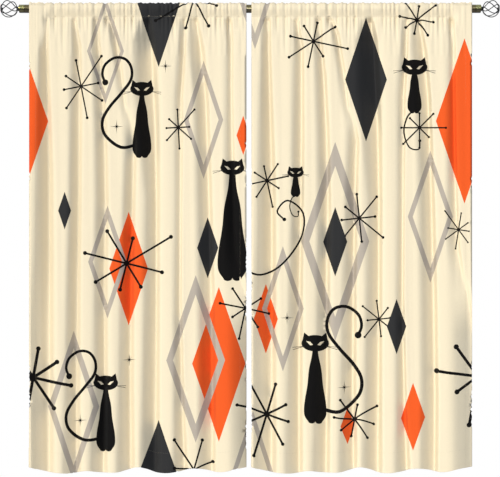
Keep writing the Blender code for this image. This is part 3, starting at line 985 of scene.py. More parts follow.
@dataclass(frozen=True)
class Drape:
    """How a panel gathered on its rod hangs: the same folds in both panels."""

    valleys: tuple[Valley, ...] = tuple(Valley(knots) for knots in (
        ((35, 51, 17, 10), (140, 48, 24, 13), (310, 48, 34, 18), (560, 50, 42, 24), (820, 48, 46, 27),
         (1080, 42, 48, 33), (1330, 42, 48, 33), (1560, 42, 48, 33)),
        ((50, 150, 12, 8), (130, 160, 24, 13), (400, 158, 28, 16), (650, 155, 30, 17),
         (920, 149, 34, 19), (1250, 145, 36, 21), (1560, 143, 38, 24)),
        ((35, 227, 14, 8), (110, 225, 20, 11), (230, 234, 26, 15), (420, 242, 28, 17),
         (650, 246, 30, 18), (920, 241, 32, 19), (1250, 241, 34, 20), (1560, 234, 38, 24)),
        ((28, 262, 14, 8), (90, 285, 18, 10), (200, 303, 18, 10), (330, 318, 10, 10),
         (390, 338, 8, 13), (450, 345, 24, 16), (650, 338, 30, 17), (950, 331, 32, 19),
         (1300, 328, 36, 21), (1560, 327, 40, 25)),
        ((30, 394, 20, 13), (110, 391, 48, 30), (280, 396, 52, 34), (420, 409, 42, 26),
         (650, 418, 34, 20), (1000, 416, 36, 21), (1300, 412, 40, 24), (1560, 408, 44, 28)),
        ((50, 522, 14, 9), (150, 518, 20, 11), (300, 508, 20, 11), (650, 507, 16, 10),
         (1000, 505, 18, 10), (1330, 509, 26, 14), (1560, 513, 34, 20)),
        ((35, 556, 18, 14), (140, 568, 32, 22), (300, 584, 34, 20), (500, 592, 34, 20),
         (700, 597, 34, 21), (1000, 603, 34, 22), (1330, 606, 36, 23), (1560, 602, 38, 25)),
        ((30, 676, 16, 9), (110, 682, 16, 9), (250, 681, 14, 9), (500, 682, 18, 12),
         (750, 686, 22, 15), (830, 690, 18, 16), (900, 700, 12, 18), (980, 714, 10, 26),
         (1040, 722, 20, 28), (1110, 726, 40, 30), (1330, 730, 46, 32), (1560, 732, 46, 32)),
    ))
    pinches: tuple[Pinch, ...] = tuple(Pinch(*row) for row in (
        (52, 9.0, 72), (88, 6.5, 84), (116, 8.6, 144), (186, 5.7, 72), (226, 7.3, 96), (264, 9.5, 72, 6),
        (293, 6.5, 72), (328, 7.8, 120), (354, 6.9, 60), (409, 7.8, 84), (450, 6.5, 84), (478, 4.7, 60),
        (494, 7.8, 108), (536, 6.5, 96), (572, 6.9, 72), (610, 7.3, 96), (640, 8.2, 84), (656, 5.7, 72),
        (680, 9.0, 108), (716, 4.7, 60),
    ))
    hem: tuple[tuple[float, float], ...] = (
        (0, 19), (45, 9), (90, 0), (135, -2), (190, 6), (235, 3), (295, 1), (330, 10), (365, 19),
        (400, 14), (435, 2), (470, -1), (505, 4), (550, 14), (600, 12), (640, 3), (670, 4), (705, 13),
        (750, 22),
    )
    ridge: float = -0.024
    settle: float = 0.055
    usual_height: float = -0.8
    crowd: tuple[float, ...] = (-7, -3, -0.5, 1.5, 3.5, 5.5, 7.5, 10, 13)
    crowd_half: float = 0.009
    pinch_sides: tuple[float, float] = (1.15, 0.4)
    gather: float = 0.0014

    def folds(self, across: Array, z: Array) -> Array:
        """Distance back from the ridges, for points across the panel at their heights."""
        return sum(valley.back(across, z) for valley in self.valleys)

    def columns(self, width: float, z: float, step: float) -> Array:
        """Places across the cloth for a row of its mesh.

        They follow the valleys down the panel, and crowd where each one turns out again.

        Args:
            width: The panel's width.
            z: The row's height.
            step: Distance between two places on the slopes.

        Returns:
            The places, from the panel's left edge.
        """
        usual = np.array([0.0, *(valley.at(self.usual_height)[0] for valley in self.valleys), width])
        here = np.array([0.0, *(valley.at(z)[0] for valley in self.valleys), width])
        crowd = (usual[1:-1, None] + np.array(self.crowd) * MM).ravel()
        plain = np.linspace(step, width - step, int(width / step))
        away = np.abs(plain[:, None] - usual[1:-1]).min(axis=1)
        places = np.sort(np.concatenate([plain[away > self.crowd_half], crowd]))
        return np.clip(np.interp(places, usual, here), 0.002, width - 0.002)

    def lift(self, across: Array) -> Array:
        """How far the bottom edge hangs above the panel's foot."""
        place, rise = flowing(self.hem, 6).T * MM
        return np.interp(across, place, rise)

    def ripples(self, across: Array, z: Array) -> Array:
        """Small undulations that run down the cloth and drift."""
        waves = ((0.0007, 15.5, 1.9, 1.2), (0.0004, 37.0, 5.0, 3.2))
        return sum(high * np.sin(TAU * count * across / 0.745 + drift * z + phase)
                   for high, count, drift, phase in waves)

    def creases(self, across: Array, below: Array) -> Array:
        """How far the pinches push the cloth back, by the distance below the pocket's seam."""
        back = np.zeros(len(across))
        left, right = self.pinch_sides
        for pinch in self.pinches:
            fade = ease(pinch.reach * MM, 0.0, below)
            away = across / MM - pinch.place
            share = away / (pinch.half * np.where(away < 0, left, right))
            back = back + pinch.depth * MM * fade * np.exp(-(share**2))
        return back

    def gathers(self, across: Array) -> Array:
        """Fine gathers of the cloth that is pushed together on the rod."""
        drift = 0.012 * np.sin(across * 37.0) + 0.006 * np.sin(across * 91.0 + 1.0)
        fine = np.sin(TAU * (across + drift) / 0.021) + 0.6 * np.sin(TAU * (across - drift) / 0.0137 + 2.0)
        return self.gather * fine


@dataclass
class Panel(EndPiece):
    """One curtain panel: a single sheet with header, rod pocket, side hems and a bottom hem."""

    print: Print
    drape: Drape = field(default_factory=Drape)
    thickness: float = 0.0005
    pocket_depth: float = 0.0272
    pocket_half: float = 0.0200
    side_hem: float = 0.025
    bottom_hem: float = 0.072
    side_turn: float = 0.0013
    bottom_turn: float = 0.0039
    seam_y: float = 0.006
    mouth_y: float = 0.0210
    mouth_width: float = 0.055
    slot_inset: float = 0.064
    fine_column: float = 0.0029
    column: float = 0.0076
    row: float = 0.0150
    motif_step: float = 0.006
    keep: float = 0.36
    edge_inset: dict[Side, float] = field(default_factory=lambda: {Side.LEFT: 0.003, Side.RIGHT: -0.001})
    pocket_room: float = 0.005
    cradle_clear: float = 0.0007
    clear_of_print: float = 0.0009
    gathers_fade: float = 0.10
    grip: tuple[float, float] = (0.35, 0.9)
    seam_grip: float = 0.3
    seam_let_go: float = 0.012
    fold_start: float = 0.016
    mouth_edges: tuple[float, float] = (1.45, 0.75)
    mouth_heights: tuple[float, float] = (-0.16, -0.06)
    mouth_close: float = 0.62
    mouth_loose: float = 0.4
    header_from: float = 0.004
    ruffles: tuple[tuple[float, float, float], ...] = ((0.0013, 0.034, 1.0), (0.0009, 0.0145, 0.0))
    pinch_pull: float = 0.14
    dip_power: int = 6
    probe: float = 0.0008
    side_turn_width: float = 0.002
    bottom_turn_height: float = 0.003
    lean_heights: tuple[float, float] = (-0.03, -0.12)
    round_rows: int = 10
    pinch_rows: int = 38
    pinch_foot: float = -0.150
    foot_rows: tuple[float, ...] = (0.012, 0.004, 0.001, 0.0, -0.0015, -0.003)
    hem_columns: tuple[float, ...] = (0.0, 0.001, 0.002, 0.0075, 0.013, 0.019)
    stitch_pitch: float = 0.0032
    stitch_half: float = 0.0012
    thread: float = 0.00013

    def __post_init__(self) -> None:
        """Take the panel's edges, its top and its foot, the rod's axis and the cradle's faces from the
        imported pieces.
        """
        out = self.side.out
        low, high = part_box(self.node("outer_hem"))
        self.outer = self.face("outer_hem") - out * self.edge_inset[self.side]
        self.leading = self.face("fold_6", -1)
        self.left, self.right = sorted((self.outer, self.leading))
        self.top, self.foot = high.z + 0.0005, low.z
        self.axis_y = self.middle("ferrule").y
        self.anchor = self.face("rod_cradle")
        self.slot = self.face("rod_cradle", -1) - out * self.slot_inset

    def depth(self, x: Array, z: Array) -> Array:
        """How far the front of the cloth is behind the rod's axis, at a place on its front.

        Args:
            x: Places along the rod.
            z: Heights.

        Returns:
            Distances along Y from the rod's axis; the room's side is negative.
        """
        across = x - self.left
        below = np.clip(-self.pocket_depth - z, 0.0, None)
        crown = np.sqrt(np.clip(1 - (np.clip(z, 0, None) / self.top) ** 2, 0, 1))
        taper = np.cos(math.pi / 2 * np.clip(-z / self.pocket_depth, 0, 1))
        round_rod = np.where(z > 0, crown, taper)
        loose = self.drape.gathers(across) * ease(self.gathers_fade, 0.0, below)
        loose = loose + self.drape.creases(across, below)
        pocket = -(self.pocket_half + self.seam(z)) * round_rod + self.seam(z)
        pocket = pocket + np.minimum(loose * np.clip(round_rod, *self.grip), self.pocket_room)
        hang = ease(0.0, self.drape.settle, below)
        front_y = self.drape.ridge + self.drape.ripples(across, z)
        freed = np.clip(self.seam_grip + below / self.seam_let_go, 0, 1)
        sheet = front_y * hang - self.seam_y * (1 - hang) + loose * freed
        sheet = sheet + self.drape.folds(across, z) * ease(0.0, self.fold_start, below)
        front = np.where(z > -self.pocket_depth, pocket, sheet)
        far, near = self.mouth_edges
        strip = ease(self.mouth_width * far, self.mouth_width * near, abs(x - self.outer))
        held = ease(*self.mouth_heights, z) * strip
        closed = self.mouth_close * ease(self.header_from, self.top, z)
        mouth = -self.mouth_y * (1 - closed) + self.mouth_loose * loose
        return front * (1 - held) + mouth * held - self.cradle_clear * (1 - strip)

    def seam(self, z: Array) -> Array:
        """Where the pocket's front and back meet: over the rod at the top, and forward below it."""
        return -self.seam_y * ease(0.0, -self.pocket_depth, z)

    def sway(self, x: Array, z: Array) -> Array:
        """How far the cloth's edge lines move up or down: the header's ruffle and the hem's dips."""
        across = x - self.left
        ruffle = sum(high * np.sin(TAU * across / long + phase) for high, long, phase in self.ruffles)
        ruffle = ruffle - self.pinch_pull * self.drape.creases(across, np.zeros(len(across)))
        down = np.clip(z / self.foot, 0.0, 1.0)
        return ruffle * ease(self.header_from, self.top, z) + self.drape.lift(across) * down**self.dip_power

    def surface(self, flat: Array) -> Array:
        """Carry points of the cloth's flat to where they hang.

        The folds lean outwards a little, so that the print runs straight across them when it is
        seen from the middle of the room.

        Args:
            flat: Points (x, v). On the front v is the height. Above the top edge it goes on down
                the pocket's back, and below the foot it goes on up the turned hem. Past either
                side edge x goes on into the turned side hem.

        Returns:
            Points in space.
        """
        x, v = flat[:, 0], flat[:, 1]
        past = np.clip(self.left - x, 0, None) - np.clip(x - self.right, 0, None)
        at_x = np.clip(x, self.left, self.right) + past
        beyond = np.abs(past)
        behind = np.clip(v - self.top, 0, None)
        under = np.clip(self.foot - v, 0, None)
        z = np.clip(v, self.foot, self.top) - behind + under
        turned = self.side_turn * np.clip(beyond / self.side_turn_width, 0, 1)
        hemmed = np.clip(under / self.bottom_turn_height, 0, 1)
        layer = turned * (1 - 2 * hemmed) + self.bottom_turn * hemmed
        y = self.depth(at_x, z)
        step = self.probe
        slope_x = (self.depth(at_x + step, z) - self.depth(at_x - step, z)) / (2 * step)
        slope_z = (self.depth(at_x, z + step) - self.depth(at_x, z - step)) / (2 * step)
        slope_z = np.clip(slope_z, -1.0, 1.0)
        size = np.sqrt(1 + slope_x**2 + slope_z**2)
        way = np.where(behind > 0, -1, 1)
        layer = np.where(behind > 0, -turned, layer)
        x = at_x - layer * way * slope_x / size
        y = np.where(behind > 0, 2 * self.seam(z) - y, y) + layer / size
        z = z + self.sway(at_x, z) - layer * way * slope_z / size
        lean = y / VIEW_DISTANCE
        drop = (z - VIEW_HEIGHT) * lean * ease(*self.lean_heights, z)
        return np.stack([x * (1 + lean), self.axis_y + y, z + drop], axis=1)

    def grid(self) -> Array:
        """Points of the flat: close together at the pocket and the edges, wider apart below."""
        round_top = np.sin(np.linspace(0, math.pi / 2, self.round_rows)) * self.top
        rows = [*round_top, *(2 * self.top - round_top[:-1])]
        rows += [*np.linspace(self.pinch_foot, -0.004, self.pinch_rows)]
        rows += [*np.linspace(2 * self.top + 0.003, 2 * self.top + self.pocket_depth, self.round_rows)]
        long = np.arange(self.foot + 0.02, self.pinch_foot - 0.005, self.row)
        foot = [self.foot + rise for rise in self.foot_rows]
        foot += [*np.linspace(self.foot - 0.01, self.foot - self.bottom_hem, 8)]
        edges = []
        for edge, sign in ((self.left, -1), (self.right, 1)):
            edges += [edge + sign * d for d in (*self.hem_columns, self.side_hem)]
        inner = np.linspace(self.left + self.fine_column, self.right - self.fine_column,
                            int((self.right - self.left) / self.fine_column))
        made = [np.array(np.meshgrid(np.concatenate([edges, inner]), rows)).reshape(2, -1).T]
        width = self.right - self.left
        for v in [*long, *foot]:
            wide = self.left + self.drape.columns(width, max(v, self.foot), self.column)
            places = np.concatenate([edges, wide])
            made.append(np.stack([places, np.full(len(places), v)], axis=1))
        return np.vstack(made)

    def cut(self) -> tuple[Array, list[tuple[int, int, int]]]:
        """Cut the flat into triangles that follow every outline of the print.

        Returns:
            The flat's points and its triangles.
        """
        grid = self.grid()
        low, high = grid.min(0), grid.max(0)
        runs = self.print.lines(low, high, self.motif_step)
        within = []
        for run in runs:
            inside = ((run > low + 1e-4) & (run < high - 1e-4)).all(axis=1)
            marks = np.flatnonzero(np.diff(np.concatenate([[0], inside.astype(int), [0]])))
            within += [self.refine(run[a:b]) for a, b in zip(marks[::2], marks[1::2]) if b - a > 1]
        drawn = np.vstack(within)
        tree = KDTree(len(drawn))
        for number, (x, v) in enumerate(drawn):
            tree.insert((x, v, 0.0), number)
        tree.balance()
        edge = ((abs(grid - low) < 1e-9) | (abs(grid - high) < 1e-9)).any(axis=1)
        clear = np.array([tree.find((x, v, 0.0))[2] > self.clear_of_print for x, v in grid])
        points = [Vector(p) for p in grid[clear | edge]]
        edges: list[tuple[int, int]] = []
        for run in within:
            first = len(points)
            points += [Vector(p) for p in run]
            edges += [(first + n, first + n + 1) for n in range(len(run) - 1)]
        verts, _, faces, *_ = delaunay_2d_cdt(points, edges, [], 0, 2e-5)
        return np.array([tuple(v) for v in verts]), [tuple(f) for f in faces]

    def refine(self, run: Array) -> Array:
        """Add points to a line of the print where it crosses a valley's steep way out."""
        middle = (run[1:] + run[:-1]) / 2
        bottoms = np.array([valley.at(middle[:, 1])[0] for valley in self.drape.valleys])
        steep = np.abs(middle[:, 0] - self.left - bottoms - 0.002).min(axis=0) < 0.009
        parts = [first + np.linspace(0.0, 1.0, 4 if close else 1, endpoint=False)[:, None] * (second - first)
                 for first, second, close in zip(run, run[1:], steep)]
        return np.vstack([*parts, run[-1:]])

    def cloth(self) -> bpy.types.Object:
        """Make the sheet, with its print in its faces and its reverse behind."""
        flat, faces = self.cut()
        corners = np.array(faces)
        centres = flat[corners].mean(axis=1)
        out = self.side.out
        past_slot = (centres[:, 1] > self.top) & (out * (centres[:, 0] - self.slot) > 0)
        a, b, c = (flat[corners[:, n]] for n in range(3))
        area = (b[:, 0] - a[:, 0]) * (c[:, 1] - a[:, 1]) - (b[:, 1] - a[:, 1]) * (c[:, 0] - a[:, 0])
        kept = ~past_slot & (np.abs(area) > 1e-12)
        corners, centres, area = corners[kept], centres[kept], area[kept]
        corners[area < 0] = corners[area < 0][:, ::-1]
        name = self.node("panel")
        mesh = bpy.data.meshes.new(name)
        mesh.from_pydata(list(map(tuple, self.surface(flat))), [], corners.tolist())
        mesh.polygons.foreach_set("material_index", self.print.ink_at(centres).astype(np.int32))
        chart = mesh.uv_layers.new(name="cloth")
        chart.data.foreach_set("uv", flat[corners.ravel()].astype(np.float32).ravel())
        bm = bmesh.new()
        bm.from_mesh(mesh)
        bmesh.ops.delete(bm, geom=[v for v in bm.verts if not v.link_faces], context="VERTS")
        bm.to_mesh(mesh)
        bm.free()
        mesh.shade_smooth()
        obj = piece(name, mesh, *cloth_finishes())
        thick = obj.modifiers.new("Thickness", "SOLIDIFY")
        thick.thickness = self.thickness
        thick.offset = -1.0
        thick.material_offset = len(Ink)
        return obj

    def seams(self) -> list[Array]:
        """Where the thread runs: the pocket's seam, the side hems and the bottom hem."""
        out = self.side.out
        runs = []
        seam_x = np.linspace(self.slot, self.leading, 400)
        runs.append(np.stack([seam_x, np.full(400, -self.pocket_depth - 0.0006)], 1))
        for edge, sign, top in ((self.outer, -out, -0.004), (self.leading, out, -self.pocket_depth)):
            v = np.linspace(top, self.foot + 0.004, 700)
            runs.append(np.stack([np.full(700, edge + sign * (self.side_hem - 0.003)), v], 1))
        hem_x = np.linspace(self.left + 0.003, self.right - 0.003, 500)
        runs.append(np.stack([hem_x, np.full(500, self.foot + self.bottom_hem - 0.004)], 1))
        return [self.surface(run) - (0.0, 0.0002, 0.0) for run in runs]

    def stitches(self) -> bpy.types.Object:
        """Sew the seams: one short bead of thread after another."""
        recipe = GeometryRecipe(self.node("panel_stitches"), {
            "Pitch": ("NodeSocketFloat", self.stitch_pitch),
            "Length": ("NodeSocketFloat", self.stitch_half),
            "Thread": ("NodeSocketFloat", self.thread),
        })
        tree, given = recipe.tree, recipe.given
        curve = tree.socket("GeometryNodeMeshToCurve", None, {0: given["Geometry"]})
        spaced = tree.socket("GeometryNodeResampleCurve", {"mode": "LENGTH"},
                             {"Curve": curve, "Length": given["Pitch"]})
        tangent = tree.socket("GeometryNodeInputTangent")
        turn = tree.socket("FunctionNodeAlignRotationToVector", {"axis": "Z"}, {"Vector": tangent})
        bead = tree.socket("GeometryNodeMeshUVSphere", None, {"Segments": 6, "Rings": 4, "Radius": 1.0})
        size = tree.socket("ShaderNodeCombineXYZ", None,
                           {0: given["Thread"], 1: given["Thread"], 2: given["Length"]})
        placed = tree.socket("GeometryNodeInstanceOnPoints", None,
                             {"Points": spaced, "Instance": bead, "Rotation": turn, "Scale": size})
        mesh = recipe.run(path_mesh(recipe.name, self.seams()), placed, SHADED_THREAD)
        if "cloth" not in mesh.uv_layers:
            mesh.uv_layers.new(name="cloth")
        return piece(recipe.name, mesh)

    def build(self) -> None:
        """Make the panel and its stitches, and hang them on the rod."""
        cloth, stitches = self.cloth(), self.stitches()
        nodes = [self.node("outer_hem")]
        nodes += [self.node(f"{kind}_{n}") for kind in ("fold", "pocket") for n in range(1, 7)]
        for obj in (cloth, stitches):
            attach(obj, "rod")
            self.node("panel_draw")
            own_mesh(obj)
            log.info("%s: %d faces", obj.name, len(obj.data.polygons))
        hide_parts(*nodes)
        self.node("tube")


def cloth_finishes() -> list[Finish]:
    """The printed face in each ink, then the reverse with the ink showing through."""
    ground = INK_COLOURS[Ink.CREAM]
    faces = [WovenCloth(f"cloth_{ink.name.lower()}", INK_COLOURS[ink]) for ink in Ink]
    backs = []
    for ink in Ink:
        mixed = tuple(g * (1 - SHOW_THROUGH) + c * SHOW_THROUGH for g, c in zip(ground, INK_COLOURS[ink]))
        backs.append(WovenCloth(f"reverse_{ink.name.lower()}", mixed, relief=0.5, mottle=0.05))
    return faces + backs


# ---------------------------------------------------------------------------------------------
# The rod, its ends and the brackets
# ---------------------------------------------------------------------------------------------


def stand_for(mesh: bpy.types.Mesh, finish: Finish | None, body: str, slot: str, *nodes: str) -> None:
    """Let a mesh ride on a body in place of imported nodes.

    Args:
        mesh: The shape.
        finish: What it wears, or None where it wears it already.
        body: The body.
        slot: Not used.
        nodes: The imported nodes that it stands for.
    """
    obj = piece(mesh.name, mesh, *([finish] if finish else []))
    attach(obj, body)
    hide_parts(*nodes)
    log.info("%s: %d faces, on %s", obj.name, len(obj.data.polygons), body)


def dress(nodes: Iterable[str], finish: Finish) -> None:
    """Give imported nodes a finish."""
    for node in nodes:
        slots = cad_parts[node].data.materials
        slots.clear()
        slots.append(finish.material())


@dataclass
class Rod:
    """The two outer tubes, the inner tube and the plastic parts between them."""

    wall: float = 0.001
    eased: float = 0.0004
    stretches: int = 8

    def tube(self, node: str, body: str) -> None:
        """Make one tube, with its rims eased."""
        low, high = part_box(node)
        middle = node_middle(node)
        radius, length, eased = (high.z - low.z) / 2, high.x - low.x, self.eased
        inner = radius - self.wall
        outline = [
            (0.0, inner + eased), (0.0, radius - eased), (eased, radius),
            *((length * n / self.stretches, radius) for n in range(1, self.stretches)),
            (length - eased, radius), (length, radius - eased), (length, inner + eased),
            (length - eased, inner), (eased, inner),
        ]
        start = Vector((low.x, middle.y, middle.z))
        mesh = lathe(f"{node}_shell", outline, start, Vector((1, 0, 0)), ring=True)
        stand_for(mesh, BRASS, body, "aged_brass", node)

    def build(self) -> None:
        """Make the tubes and dress the plastic parts."""
        self.tube("left_tube", "rod")
        self.tube("right_tube", "sliding_tube")
        self.tube("inner_tube", "sliding_tube")
        dress(("telescope_bush", "joining_sleeve", "glide_plug"), GLIDE_PLASTIC)


@dataclass
class Ferrule(EndPiece):
    """The brighter cap on the rod's end, turned with a shallow groove near each rim."""

    cap: float = 0.019
    plug: float = 0.020
    groove: float = 0.0005
    groove_from: float = 0.0024
    groove_to: float = 0.0037
    flank: float = 0.0003
    rim: float = 0.0004
    plug_step: float = 0.0013
    plug_tip: float = 0.001
    stud_room: float = 0.0003
    stud_depth: float = 0.002

    def build(self) -> None:
        """Make the cap and its plug."""
        middle, tip = self.middle("ferrule"), self.face("ferrule")
        radius = self.radius("ferrule")
        hole = self.radius("finial_stud") + self.stud_room
        reach = abs(tip - self.face("finial_stud", -1)) + self.stud_depth
        sunk, end = radius - self.groove, self.cap + self.plug
        near, far, flank = self.groove_from, self.groove_to, self.flank
        outline = [
            (-reach, 0.0), (-reach, hole), (-0.0005, hole), (0.0, hole + 0.0006), (0.0, radius - 0.0012),
            (-self.rim, radius - self.rim), (-0.0012, radius), (-near, radius), (-near - flank, sunk),
            (flank - far, sunk), (-far, radius), (far - self.cap, radius), (far - flank - self.cap, sunk),
            (near + flank - self.cap, sunk), (near - self.cap, radius), (self.rim - self.cap, radius),
            (-self.cap, radius - self.rim), (-self.cap, radius - self.plug_step),
            (self.plug_tip - end, radius - self.plug_step), (-end, radius - self.plug_step - self.plug_tip),
            (-end, 0.0),
        ]
        start = Vector((tip, middle.y, middle.z))
        mesh = lathe(self.node("ferrule_cap"), outline, start, self.outwards)
        body = "rod" if self.side is Side.LEFT else "sliding_tube"
        stand_for(mesh, BRIGHT_BRASS, body, "aged_brass", self.node("ferrule"))
        dress((self.node("finial_stud"),), STEEL)


@dataclass
class Finial(EndPiece):
    """The collar and the open ball of twisted wires on the rod's end."""

    wires: int = 6
    wire: float = 0.0015
    twist: float = math.radians(120)
    pole: float = 0.0036
    steps: int = 40
    socket_depth: float = 0.0035
    socket_room: float = 0.0003
    hub: float = 0.0055
    bead: float = 0.005

    def collar(self) -> bpy.types.Mesh:
        """The collar, waisted between two beads."""
        middle, radius = self.middle("finial_collar"), self.radius("finial_collar")
        foot = self.face("finial_collar", -1)
        long = abs(self.face("finial_collar") - foot)
        deep, socket = self.socket_depth, self.radius("finial_stud") + self.socket_room
        outline = rounded([
            (deep, 0.0), (deep, socket), (0.0, socket), (0.0, radius), (0.0017, radius),
            (0.0025, radius - 0.0012), (0.0033, radius - 0.0004), (long, radius - 0.0008), (long, 0.0),
        ], 0.0004, 3)
        return lathe(self.node("collar"), outline, Vector((foot, middle.y, middle.z)), self.outwards)

    def wire_path(self, neck: float, ball: float) -> Array:
        """One wire, winding over the ball from its neck to its tip, about the axis y = z = 0."""
        reach = ball - self.wire
        start = math.asin(self.pole / reach)
        share = np.linspace(0.0, 1.0, self.steps + 1)
        polar = start + (math.pi - 2 * start) * share
        around = self.twist * share
        x = neck + self.side.out * (ball - reach * np.cos(polar))
        y = -reach * np.sin(polar) * np.cos(around)
        return np.stack([x, y, reach * np.sin(polar) * np.sin(around)], axis=1)

    def cage(self) -> bpy.types.Mesh:
        """The wires, swept along one path and turned round the rod's axis."""
        middle, neck = self.middle("ferrule"), self.face("finial_cage", -1)
        ball = abs(self.face("finial_cage") - neck) / 2
        recipe = GeometryRecipe(self.node("cage_wires"), {
            "Wires": ("NodeSocketInt", self.wires), "Wire radius": ("NodeSocketFloat", self.wire),
        })
        tree, given = recipe.tree, recipe.given
        curve = tree.socket("GeometryNodeMeshToCurve", None, {0: given["Geometry"]})
        ring = tree.socket("GeometryNodeCurvePrimitiveCircle", None,
                           {"Resolution": 12, "Radius": given["Wire radius"]})
        swept = tree.socket("GeometryNodeCurveToMesh", None,
                            {"Curve": curve, "Profile Curve": ring, "Fill Caps": True})
        spots = tree.socket("GeometryNodeMeshLine", None,
                            {"Count": given["Wires"], "Offset": (0.0, 0.0, 0.0)})
        share = tree.value("GeometryNodeInputIndex") / Value(tree, given["Wires"])
        turn = tree.socket("ShaderNodeCombineXYZ", None, {0: share * TAU})
        placed = tree.socket("GeometryNodeInstanceOnPoints", None,
                             {"Points": spots, "Instance": swept, "Rotation": turn})
        mesh = recipe.run(path_mesh(recipe.name, [self.wire_path(neck, ball)]), placed, BLACK_WIRE)
        mesh.transform(Matrix.Translation((0.0, middle.y, middle.z)))
        return mesh

    def caps(self) -> list[bpy.types.Mesh]:
        """The hub at the neck and the bead at the tip, which the wires are welded to."""
        middle = self.middle("ferrule")
        neck, tip = (Vector((self.face("finial_cage", way), middle.y, middle.z)) for way in (-1, 1))
        hub = rounded([(0.0, 0.0), (0.0, self.hub), (0.0035, self.hub), (0.0042, 0.0)], 0.001)
        arc = [math.pi * n / 14 for n in range(15)]
        bead = [(-self.bead - self.bead * math.cos(a), self.bead * math.sin(a)) for a in arc]
        return [
            lathe(self.node("cage_hub"), hub, neck, self.outwards, 32),
            lathe(self.node("cage_bead"), bead, tip, self.outwards, 32),
        ]

    def build(self) -> None:
        """Make the collar, the wires, the hub and the bead."""
        body, cage = self.node("finial"), self.node("finial_cage")
        stand_for(self.collar(), BLACK_WIRE, body, "black_wire", self.node("finial_collar"))
        stand_for(self.cage(), None, body, "black_wire", cage)
        for mesh in self.caps():
            stand_for(mesh, BLACK_WIRE, body, "black_wire", cage)


@dataclass
class Bracket(EndPiece):
    """The wall plate, arm and cradle at one end, and the clamp screw with its knob."""

    bevel: float = 0.0006
    flare: float = 0.003
    flare_long: float = 0.006
    stock: float = 0.003
    lip: float = 0.003
    pitch: float = 0.0007
    thread: float = 0.0003
    knob_ribs: int = 18
    rib_depth: float = 0.00035

    def arm(self) -> None:
        """The round arm, flared where it meets the plate."""
        low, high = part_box(self.node("bracket_arm"))
        middle, radius = self.middle("bracket_arm"), self.radius("bracket_arm")
        long, wide = high.y - low.y, radius + self.flare
        outline = rounded([
            (0.0, 0.0), (0.0, wide), (0.0015, wide), (self.flare_long, radius),
            (long - 0.0005, radius), (long, radius - 0.0005), (long, 0.0),
        ], 0.0012)
        start = Vector((middle.x, high.y, middle.z))
        mesh = lathe(self.node("arm"), outline, start, Vector((0, -1, 0)), 40)
        stand_for(mesh, CAST_BRASS, "brackets", "aged_brass", self.node("bracket_arm"))

    def cradle(self) -> None:
        """The open U that the rod lies in."""
        node = self.node("rod_cradle")
        low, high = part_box(node)
        axis_y = self.middle("ferrule").y
        outer = -low.z
        inner = outer - self.stock
        turns = np.linspace(0.0, math.pi, 33)
        outline = [(axis_y - outer, self.lip)]
        outline += [(axis_y - outer * math.cos(a), -outer * math.sin(a)) for a in turns]
        outline += [(axis_y + outer, high.z), (axis_y + inner, high.z)]
        outline += [(axis_y + inner * math.cos(a), -inner * math.sin(a)) for a in turns]
        outline += [(axis_y - inner, self.lip)]
        mesh = slab(self.node("cradle"), outline, 0, low.x, high.x, self.bevel)
        stand_for(mesh, CAST_BRASS, "brackets", "aged_brass", node)

    def screw(self) -> None:
        """The clamp screw's shank, with a ring for each turn of its thread."""
        node = self.node("clamp_screw")
        low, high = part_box(node)
        middle, radius, long = node_middle(node), (high.x - low.x) / 2, high.z - low.z
        turns, root = int(long / self.pitch), radius - self.thread
        outline = [(0.0, 0.0), (0.0, root - 0.0001)]
        for n in range(turns):
            outline += [(long * (n + 0.25) / turns, root), (long * (n + 0.75) / turns, radius)]
        outline += [(long, root), (long, 0.0)]
        start = Vector((middle.x, middle.y, low.z))
        mesh = lathe(f"{node}_thread", outline, start, Vector((0, 0, 1)), 32)
        stand_for(mesh, STEEL, node, "brushed_steel", node)

    def knob(self) -> None:
        """A thumb knob whose rim is scalloped for grip."""
        node = self.node("clamp_knob")
        low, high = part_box(node)
        middle = node_middle(node)
        turn = np.linspace(0.0, TAU, self.knob_ribs * 6, endpoint=False)
        reach = (high.x - low.x) / 2 - self.rib_depth * (1 - np.cos(self.knob_ribs * turn)) / 2
        outline = [(middle.x + r * math.cos(a), middle.y + r * math.sin(a)) for r, a in zip(reach, turn)]
        mesh = slab(f"{node}_grip", outline, 2, low.z, high.z, 0.0004)
        stand_for(mesh, STEEL, node, "brushed_steel", node)

    def build(self) -> None:
        """Make the arm, the cradle and the clamp, and dress the wall plate."""
        dress((self.node("wall_plate"),), CAST_BRASS)
        self.arm()
        self.cradle()
        self.screw()
        self.knob()


# ---------------------------------------------------------------------------------------------
# The studio
# ---------------------------------------------------------------------------------------------


